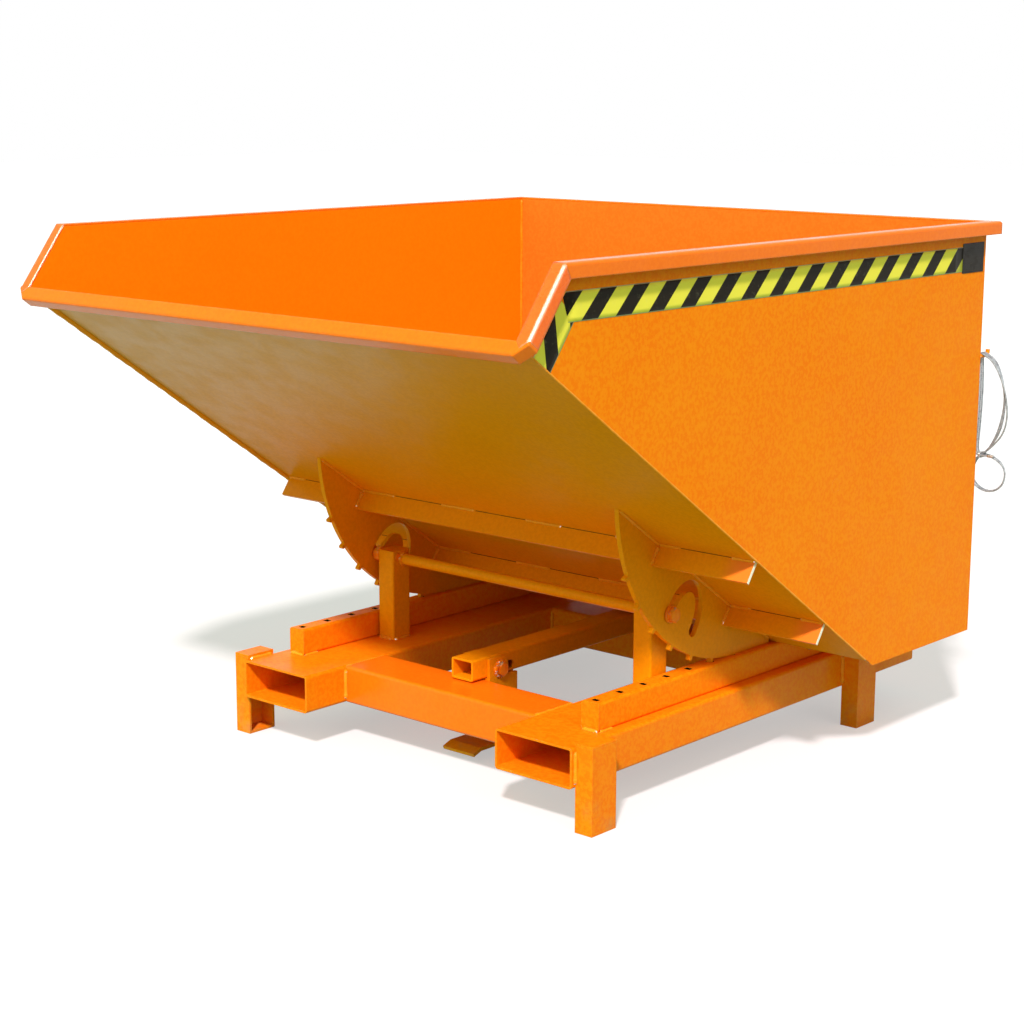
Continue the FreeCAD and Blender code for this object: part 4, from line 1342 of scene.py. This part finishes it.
@dataclass
class HazardTape:
    """Striped tape on both side walls, as one strip below the rim and one along the slanted edge.

    A strip's point at shares a and b lies between its four corners, first along both long edges by a, then
    across by b. Its flat coordinates are the distances along and across the tape.

    Attributes:
        mouth_angle: the slanted edge's rise in degrees.
        slope_angle: the slope's rise in degrees.
        width: the tape's width.
        drop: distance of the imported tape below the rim's top.
        sink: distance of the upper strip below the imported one.
        thick: the film's thickness.
        lift: distance of the tape's tip from the slope's underside.
        under: distance of the slanted strip below the upper one.
        front_low: y of the upper strip's lower front corner.
        front_high: y of its upper front corner.
        top_start: shift of its bands.
        slant_drop: distance of the slanted strip from the rim's edge.
        slant_start: shift of its bands.
        slant_period: their period.
        reach: how far it runs behind the upper strip, as a share of its width.
    """

    mouth_angle: float = 53.2
    slope_angle: float = 34.55
    width: float = 0.0575
    drop: float = 0.053
    sink: float = 0.002
    thick: float = 0.0004
    lift: float = 0.0004
    under: float = 0.0003
    front_low: float = -0.743
    front_high: float = -0.762
    top_start: float = 0.816
    slant_drop: float = 0.041
    slant_start: float = -0.112
    slant_period: float = 0.107
    reach: float = 0.9

    ROWS, COLUMNS = 41, 7

    def build(self) -> None:
        """Make the four strips."""
        top = TapeFinish("tape_top", start=self.top_start, width=self.width).material()
        slant = TapeFinish("tape_slant", start=self.slant_start, width=self.width,
                           period=self.slant_period).material()
        turn, climb = math.radians(self.mouth_angle), math.radians(self.slope_angle)
        run, level = np.array([math.cos(turn), math.sin(turn)]), np.array([1.0, 0.0])
        into, up = np.array([run[1], -run[0]]), np.array([-math.cos(climb), math.sin(climb)])
        slope = NodeBox.of("slope_plate")
        lift = self.lift * np.array([math.sin(climb), math.cos(climb)])
        foot = np.array([slope.high[1], slope.low[2]]) + lift
        for side, word in SIDES:
            box = NodeBox.of("hazard_tape_" + word)
            x, end, high = box.face(side), box.high[1], box.high[2]
            corner = np.array([NodeBox.of("rim_slant_" + word).high[1], high + self.drop])
            near, across = corner + into * self.slant_drop, into * self.width
            bottom = np.array([0.0, high - self.width])
            behind = self.meet(near, run, bottom, level) + run * self.reach * self.width
            tip, heel = self.meet(near, run, foot, up), self.meet(near + across, run, foot, up)
            high, low = high - self.sink, high - self.sink - self.width
            corners = np.array([(self.front_low, low), (end, low), (end, high), (self.front_high, high)])
            self.strip("tape_top_" + word, side, x, corners, np.array([0.0, low]), level, top, word)
            corners = np.array([heel, behind + across, behind, tip])
            self.strip("tape_slant_" + word, side, x - side * self.under, corners, heel, run, slant, word)

    @staticmethod
    def meet(start: Array, run: Array, other: Array, other_run: Array) -> Array:
        """The point where two lines in the side view cross, each given by a point and a direction."""
        return start + run * np.linalg.solve(np.stack([run, -other_run], axis=1), other - start)[0]

    def strip(self, name: str, side: float, x: float, corners: Array, zero: Array, run: Array,
              finish: Material, word: str) -> None:
        """One strip of tape.

        Args:
            name: the piece's name.
            side: -1 on the left, 1 on the right.
            x: the tape's outer face.
            corners: low start, low end, high end and high start, in the side view.
            zero: where the flat coordinates begin.
            run: direction along the tape.
            finish: the material.
            word: left or right.
        """
        a, b = np.linspace(0, 1, self.ROWS)[:, None, None], np.linspace(0, 1, self.COLUMNS)[None, :, None]
        low = corners[0] + (corners[1] - corners[0]) * a
        high = corners[3] + (corners[2] - corners[3]) * a
        place = low + (high - low) * b
        flat = (place - zero) @ np.array([run, (-run[1], run[0])]).T
        grid = np.concatenate([np.full(place.shape[:2] + (1,), x), place], axis=-1)
        if side < 0:
            grid, flat = grid[::-1], flat[::-1]
        skin = Surface.from_grid(grid[:, ::-1], flat=flat[:, ::-1])
        made = skin.piece(name, Body.HOPPER, Slot.TAPE, finish)
        film = made.modifiers.new("film", "SOLIDIFY")
        film.thickness, film.offset = self.thick, -1.0
        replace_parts(made, "hazard_tape_" + word)


# Cable


@dataclass
class CableHank:
    """Wire rope hung over the hook in loops that cross and are tied at a waist.

    Attributes:
        finishes: the materials.
        diameter: of the rope.
        length: of the rope, from the solid one.
        pitch: distance between loops, away from the wall.
        loops: how often it goes over the hook.
        lay: length in which a strand turns once.
        strands: how many there are.
        start: first point of the rope's line.
        slant: direction in which the last end leaves the waist.
        stub: length of the ends beside the waist.
        wire: radius of the tie's wire.
        tie_turns: how often that goes round.
        sleeve: length of a ferrule.
        sleeve_radius: its radius.
    """

    finishes: Finishes
    diameter: float = 0.0045
    length: float = 2.2725
    pitch: float = 0.0096
    loops: int = 3
    lay: float = 0.03
    strands: int = 6
    start: Point = (0.768, 0.78907, 0.668)
    slant: Point = (-0.829, 0.0, -0.5592)
    stub: float = 0.038
    wire: float = 0.0011
    tie_turns: float = 3.4
    sleeve: float = 0.018
    sleeve_radius: float = 0.004

    STRAND_SHARE = 0.185

    def route(self) -> Array:
        """Control points of the rope's line, from one ferrule to the other.

        Each row gives x from the waist in the first loop, its change from loop to loop, the share of the
        pitch away from the wall, and z. The turns fan out in the lower half of the upper loop, where nothing
        ties them: there the later ones hang narrower and closer to the wall.

        Returns:
            The points.
        """
        upper = np.array([
            (0.0095, 0, 0.0, 0.668), (-0.0086, 0, 0.0, 0.668), (-0.0165, 0, 0.0, 0.6814),
            (-0.0122, 0, 0.12, 0.7438), (-0.0122, 0, 0.5, 0.8512), (-0.0175, 0, 0.5, 0.9094),
            (-0.012, 0, 0.5, 0.9137),
            (0.0298, -0.0012, 0.5, 0.8896), (0.0642, -0.0052, 0.5, 0.809), (0.0653, -0.0095, 0.5, 0.7339),
            (0.0258, -0.0035, 0.5, 0.6854)])
        lower = np.array([
            (-0.0115, 0, 0.5, 0.6602), (-0.025, 0.002, 0.5, 0.6359), (-0.025, 0.002, 0.5, 0.6038),
            (0.0038, -0.0003, 0.75, 0.5815), (0.0391, -0.0031, 0.75, 0.5815), (0.064, -0.0051, 1.0, 0.6049),
            (0.064, -0.0051, 1.0, 0.6453), (0.0233, 0, 1.0, 0.668)])
        fan = np.array([[0.0, 0.0, 0.0], [-0.0025, -0.0045, -0.002], [-0.003, -0.0062, -0.003]])
        close = np.array([[0.0, 0.0, 0.0], [-0.002, -0.0066, -0.003], [-0.002, -0.0066, -0.003]])
        waist, y, z = self.start[0] - self.stub, self.start[1], self.start[2]
        rows = [np.array([self.start])]
        for loop in range(self.loops):
            table = upper if loop == self.loops - 1 else np.concatenate([upper, lower])
            points = np.stack([waist + table[:, 0] + table[:, 1] * loop,
                               y + self.pitch * (loop + table[:, 2]), table[:, 3]], axis=-1)
            points[8:11, :2] += np.stack([fan[loop], close[loop]], axis=-1)
            rows.append(points if loop == 0 else points[1:])
        last = np.array([waist, y + self.pitch * (self.loops - 0.5), z])
        rows.append(last + np.array([[self.stub / 4], [self.stub]]) * np.array(self.slant))
        return np.concatenate(rows)

    @staticmethod
    def line(route: Array) -> Array:
        """Points of the smooth line that a spline draws from control points.

        Args:
            route: the control points.

        Returns:
            The points, as Blender gives them for a curve with no thickness.
        """
        curve = bpy.data.curves.new("rope_line", "CURVE")
        curve.dimensions = "3D"
        curve.resolution_u = 14
        spline = curve.splines.new("NURBS")
        spline.points.add(len(route) - 1)
        spline.points.foreach_set("co", np.concatenate([route, np.ones((len(route), 1))], axis=1).ravel())
        spline.order_u = 3
        spline.use_endpoint_u = True
        holder = bpy.data.objects.new("rope_line", curve)
        bpy.context.scene.collection.objects.link(holder)
        bpy.context.view_layer.update()
        drawn = bpy.data.meshes.new_from_object(holder.evaluated_get(bpy.context.evaluated_depsgraph_get()))
        found = np.zeros(len(drawn.vertices) * 3)
        drawn.vertices.foreach_get("co", found)
        bpy.data.objects.remove(holder)
        bpy.data.curves.remove(curve)
        bpy.data.meshes.remove(drawn)
        return found.reshape(-1, 3)

    @staticmethod
    def evenly(line: Array, step: float) -> Array:
        """Points of a line at even distances.

        Args:
            line: points of the line.
            step: the distance between new points.

        Returns:
            The new points.
        """
        along = distances(line)
        places = np.linspace(0, along[-1], math.ceil(along[-1] / step))
        return np.stack([np.interp(places, along, line[:, axis]) for axis in range(3)], axis=-1)

    def strand(self, line: Array, number: int) -> Surface:
        """One strand, a thin tube on a screw line round the rope's own line.

        Args:
            line: points of the rope's line.
            number: which strand it is.

        Returns:
            The strand's skin.
        """
        thin = self.diameter * self.STRAND_SHARE
        run = unit(np.gradient(line, axis=0))
        side = unit(np.cross(run, ALONG))
        turn = TURN * (distances(line) / self.lay + number / self.strands)[:, None]
        out = np.cos(turn) * side + np.sin(turn) * np.cross(run, side)
        return Surface.tube(line + out * (self.diameter / 2 - thin), thin, out, np.cross(run, out), 6)

    def build(self) -> None:
        """Make the rope with its wire tie and crimped ferrules."""
        route = self.route()
        line = self.line(route)
        dense = self.evenly(line, self.lay / 11)
        rope = Surface.joined([self.strand(dense, number) for number in range(self.strands)]).piece(
            "rope_hank", Body.HOPPER, Slot.ROPE, self.finishes.rope)
        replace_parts(rope, "cable_hank")
        tie, ferrules = self.tie(), self.ferrules(route)
        LOG.info("rope length %.3f m", distances(line)[-1])

    def tie(self) -> Object:
        """Wire wound round the waist: a tube on a rounded rectangle that moves along X as it turns.

        Returns:
            The new object.
        """
        box, soft = NodeBox.of("cable_band"), 0.45
        half = (box.high - box.low) / 2 - self.wire
        turn = np.linspace(0, TURN * self.tie_turns, 260)
        y, z = (size * np.sign(wave) * np.abs(wave) ** soft
                for size, wave in ((half[1], np.cos(turn)), (half[2], np.sin(turn))))
        line = box.middle + np.stack([half[0] * (2 * turn / turn[-1] - 1), y, z], axis=-1)
        out = unit(np.stack([0 * turn, y / half[1] ** 2, z / half[2] ** 2], axis=-1))
        made = Surface.tube(line, self.wire, out, -ACROSS, 8).piece("rope_tie", Body.HOPPER, Slot.ROPE,
                                                                    self.finishes.zinc)
        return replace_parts(made, "cable_band")

    def ferrules(self, route: Array) -> Object:
        """Crimped sleeves on the rope's ends: a turned profile with rounded ends and three pressed grooves.

        Args:
            route: the rope's control points.

        Returns:
            The new object.
        """
        share = np.linspace(0, 1, 40)[:, None]
        ends = np.sqrt(np.clip(1 - (np.abs(2 * share - 1) ** 8), 0.12, 1))
        press = 1 - 0.13 * np.exp(-(((share * 4) % 1 - 0.5) / 0.16) ** 2) * (share > 0.12) * (share < 0.88)
        size, parts = self.sleeve_radius * ends * press, []
        for end, inner in ((route[0], route[1]), (route[-1], route[-2])):
            run = unit(inner - end)
            line = end + run * (self.sleeve * share)
            parts.append(Surface.tube(line, size, ALONG, np.cross(run, ALONG), 28))
        made = Surface.joined(parts).piece("rope_ferrules", Body.HOPPER, Slot.ROPE, self.finishes.zinc)
        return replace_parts(made, "cable_ferrules")


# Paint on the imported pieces


@dataclass
class PackedPieces:
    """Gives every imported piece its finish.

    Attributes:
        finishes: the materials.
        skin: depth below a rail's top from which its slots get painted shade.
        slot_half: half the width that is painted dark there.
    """

    finishes: Finishes
    skin: float = 0.0007
    slot_half: float = 0.0098

    def __post_init__(self) -> None:
        """List the finishes by slot and by the start of a piece's name, where it differs from its body's."""
        made, rail = self.finishes, NodeBox.of("rail_right")
        # Painted shade: the rails' slots are near black below the top skin.
        size = (float(rail.middle[0]), self.slot_half, float(rail.high[2]) - self.skin)
        rails = PaintFinish("rail_paint", chipped=0.6, shine=0.02, shaded_slot_box=size).material()
        self.slots = {Slot.PLATE: made.plate, Slot.ZINC: made.zinc, Slot.ROPE: made.rope}
        # Several finishes here are lit, shaded and sheen copies of the orange, as painted light and shade.
        self.names = {"slope": made.slope, "rim_slant": made.slant, "rim": made.rim, "stiffener": made.bar,
                      "rocker": made.shaded, "post": made.shaded, "tie": made.shaded, "lock": made.shaded,
                      "bump": made.shaded, "front_cross": made.rim, "side_wall_left": made.left,
                      "rear_wall": made.rear, "rail_left": rails, "rail_right": rails,
                      "guide_washers": made.worn, "guide_bushes": made.worn}

    def build(self) -> None:
        """Assign a material to each node by its slot, name and body."""
        record = frame["record"]
        slots = {row["node"]: Slot(row["material_slot"]) for row in record["subparts"]}
        bodies = record["behaviour"]["bodies"]
        base = {*bodies[Body.BASE.value], *bodies[Body.LOCK.value]}
        for name, node in frame["nodes"].items():
            usual = self.finishes.base if name in base else self.finishes.hopper
            named = next((finish for start, finish in self.names.items() if name.startswith(start)), usual)
            finish = self.slots.get(slots[name], named)
            if not node.material_slots:
                node.data.materials.append(finish)
            for place in node.material_slots:
                place.material = finish
        LOG.info("%d packed pieces finished", len(frame["nodes"]))


# Studio


@dataclass(frozen=True)
class Sun:
    """One distant lamp.

    Attributes:
        name: its name.
        strength: its strength.
        heading: turn from the front to the right, in degrees.
        height: its height in degrees.
        size: its width in degrees, which softens its shadows.
        colour: its colour.
        mirrored: whether glossy surfaces show it.
    """

    name: str
    strength: float
    heading: float
    height: float
    size: float
    colour: Colour
    mirrored: bool = True

    def build(self) -> None:
        """Make the lamp."""
        lamp = bpy.data.lights.new(self.name, "SUN")
        lamp.energy, lamp.angle, lamp.color = self.strength, math.radians(self.size), self.colour
        made = bpy.data.objects.new(self.name, lamp)
        bpy.context.scene.collection.objects.link(made)
        turn, rise = math.radians(self.heading), math.radians(self.height)
        away = Vector((math.sin(turn) * math.cos(rise), -math.cos(turn) * math.cos(rise), math.sin(rise)))
        made.visible_glossy = self.mirrored
        made.rotation_mode = "QUATERNION"
        made.rotation_quaternion = away.to_track_quat("Z", "Y")


@dataclass
class Studio:
    """Camera, pale floor, soft key light and even surroundings.

    Attributes:
        eye: the camera's place.
        heading: turn of the view to the left of +Y, in degrees.
        pitch: tilt of the view below the horizon.
        roll: turn of the picture.
        lens: focal length in millimetres.
        sensor: width of the film in millimetres.
        fill: strength of the surroundings as light.
        fill_tint: their colour as light.
        floor_tone: the floor as it is seen.
        floor_bounce: the floor as it lights the skip from below.
        floor_lift: glow that whitens the floor.
        floor_reach: distance of the floor's edges.
        floor_drop: depth of the floor below the feet.
    """

    eye: Point = (3.1776, -3.6787, 1.5448)
    heading: float = 41.4
    pitch: float = 11.6
    roll: float = 0.2
    lens: float = 74.09
    sensor: float = 36.0
    fill: float = 0.32
    fill_tint: Colour = (0.78, 1.0, 0.7)
    floor_tone: Colour = (0.56, 0.55, 0.62)
    floor_bounce: Colour = (0.27, 0.43, 0.25)
    floor_lift: float = 0.44
    floor_reach: float = 30.0
    floor_drop: float = 0.0005

    def build(self) -> None:
        """Make the camera, a soft key light, three wide lights, the surroundings and the floor."""
        self.camera()
        for sun in (Sun("key", 3.8, 32.8, 45.6, 5.0, (1.0, 0.92, 0.82)),
                    Sun("side", 0.55, 78.0, 34.0, 40.0, (1.0, 0.9, 0.78)),
                    Sun("front", 1.1, -15.0, 14.0, 80.0, self.fill_tint),
                    Sun("back", 0.8, 208.0, 16.0, 60.0, (1.0, 0.97, 0.92), False)):
            sun.build()
        self.surroundings()
        self.floor()
        bpy.context.scene.view_settings.view_transform = "Standard"

    def camera(self) -> None:
        """Place the camera where the photograph was taken."""
        turn, dip, lean = (math.radians(angle) for angle in (self.heading, self.pitch, self.roll))
        look = Vector((-math.sin(turn) * math.cos(dip), math.cos(turn) * math.cos(dip), -math.sin(dip)))
        right = Vector((math.cos(turn), math.sin(turn), 0.0))
        up = right.cross(look)
        right, up = (right * math.cos(lean) + up * math.sin(lean),
                     up * math.cos(lean) - right * math.sin(lean))
        lens = bpy.data.cameras.new("camera")
        lens.lens, lens.sensor_width = self.lens, self.sensor
        made = bpy.data.objects.new("camera", lens)
        bpy.context.scene.collection.objects.link(made)
        made.matrix_world = Matrix.Translation(self.eye) @ Matrix((right, up, -look)).transposed().to_4x4()
        bpy.context.scene.camera = made

    def surroundings(self) -> None:
        """Surroundings that are white to the eye and dimmer as light."""
        world = bpy.data.worlds.new("surroundings")
        bpy.context.scene.world = world
        nodes = NodeSet(world, "ShaderNodeBackground", "ShaderNodeOutputWorld")
        seen = self.seen(nodes)
        nodes.set(Color=nodes.mix(seen, self.fill_tint, (1.0, 1.0, 1.0)),
                  Strength=nodes.span(seen, 0.0, 1.0, self.fill, 1.0))

    @staticmethod
    def seen(nodes: NodeSet) -> Socket:
        """One where a ray comes from the eye, a mirror or a lens.

        Args:
            nodes: the nodes that it is added to.

        Returns:
            The result's socket.
        """
        path = nodes.add("ShaderNodeLightPath").outputs
        last = nodes.maths("MAXIMUM", path["Is Camera Ray"], path["Is Glossy Ray"])
        return nodes.maths("MAXIMUM", last, path["Is Transmission Ray"])

    def floor(self) -> None:
        """A wide pale floor: a grid that fades into the white surroundings."""
        reach = np.linspace(-self.floor_reach, self.floor_reach, 13)
        x, y = np.meshgrid(reach, reach)
        made = Surface.from_grid(np.stack([x, y, np.full_like(x, -self.floor_drop)], axis=-1))
        mesh = bpy.data.meshes.new("floor")
        mesh.from_pydata(made.points.tolist(), [], made.quads.tolist())
        nodes = NodeSet.material("pale_floor", "ShaderNodeAddShader")
        seen = self.seen(nodes)
        matt = nodes.fed("ShaderNodeBsdfDiffuse", nodes.mix(seen, self.floor_bounce, self.floor_tone))
        glow = nodes.fed("ShaderNodeEmission", None, nodes.span(seen, 0.0, 1.0, 0.0, self.floor_lift))
        for socket, part in zip(nodes.shader.inputs, (matt, glow)):
            nodes.feed(socket, part.outputs[0])
        mesh.materials.append(nodes.owner)
        floor = bpy.data.objects.new("floor", mesh)
        bpy.context.scene.collection.objects.link(floor)


def main() -> None:
    """Build the studio and every sub-assembly in order."""
    logging.basicConfig(level=logging.INFO, format="%(name)s %(message)s")
    Studio().build()
    finishes = Finishes()
    PackedPieces(finishes).build()
    CableHank(finishes).build()
    ForkBase(finishes).build()
    LockGear(finishes).build()
    Hopper(finishes).build()
    Fasteners(finishes).build()
    HazardTape().build()


if __name__ == "__main__":
    main()
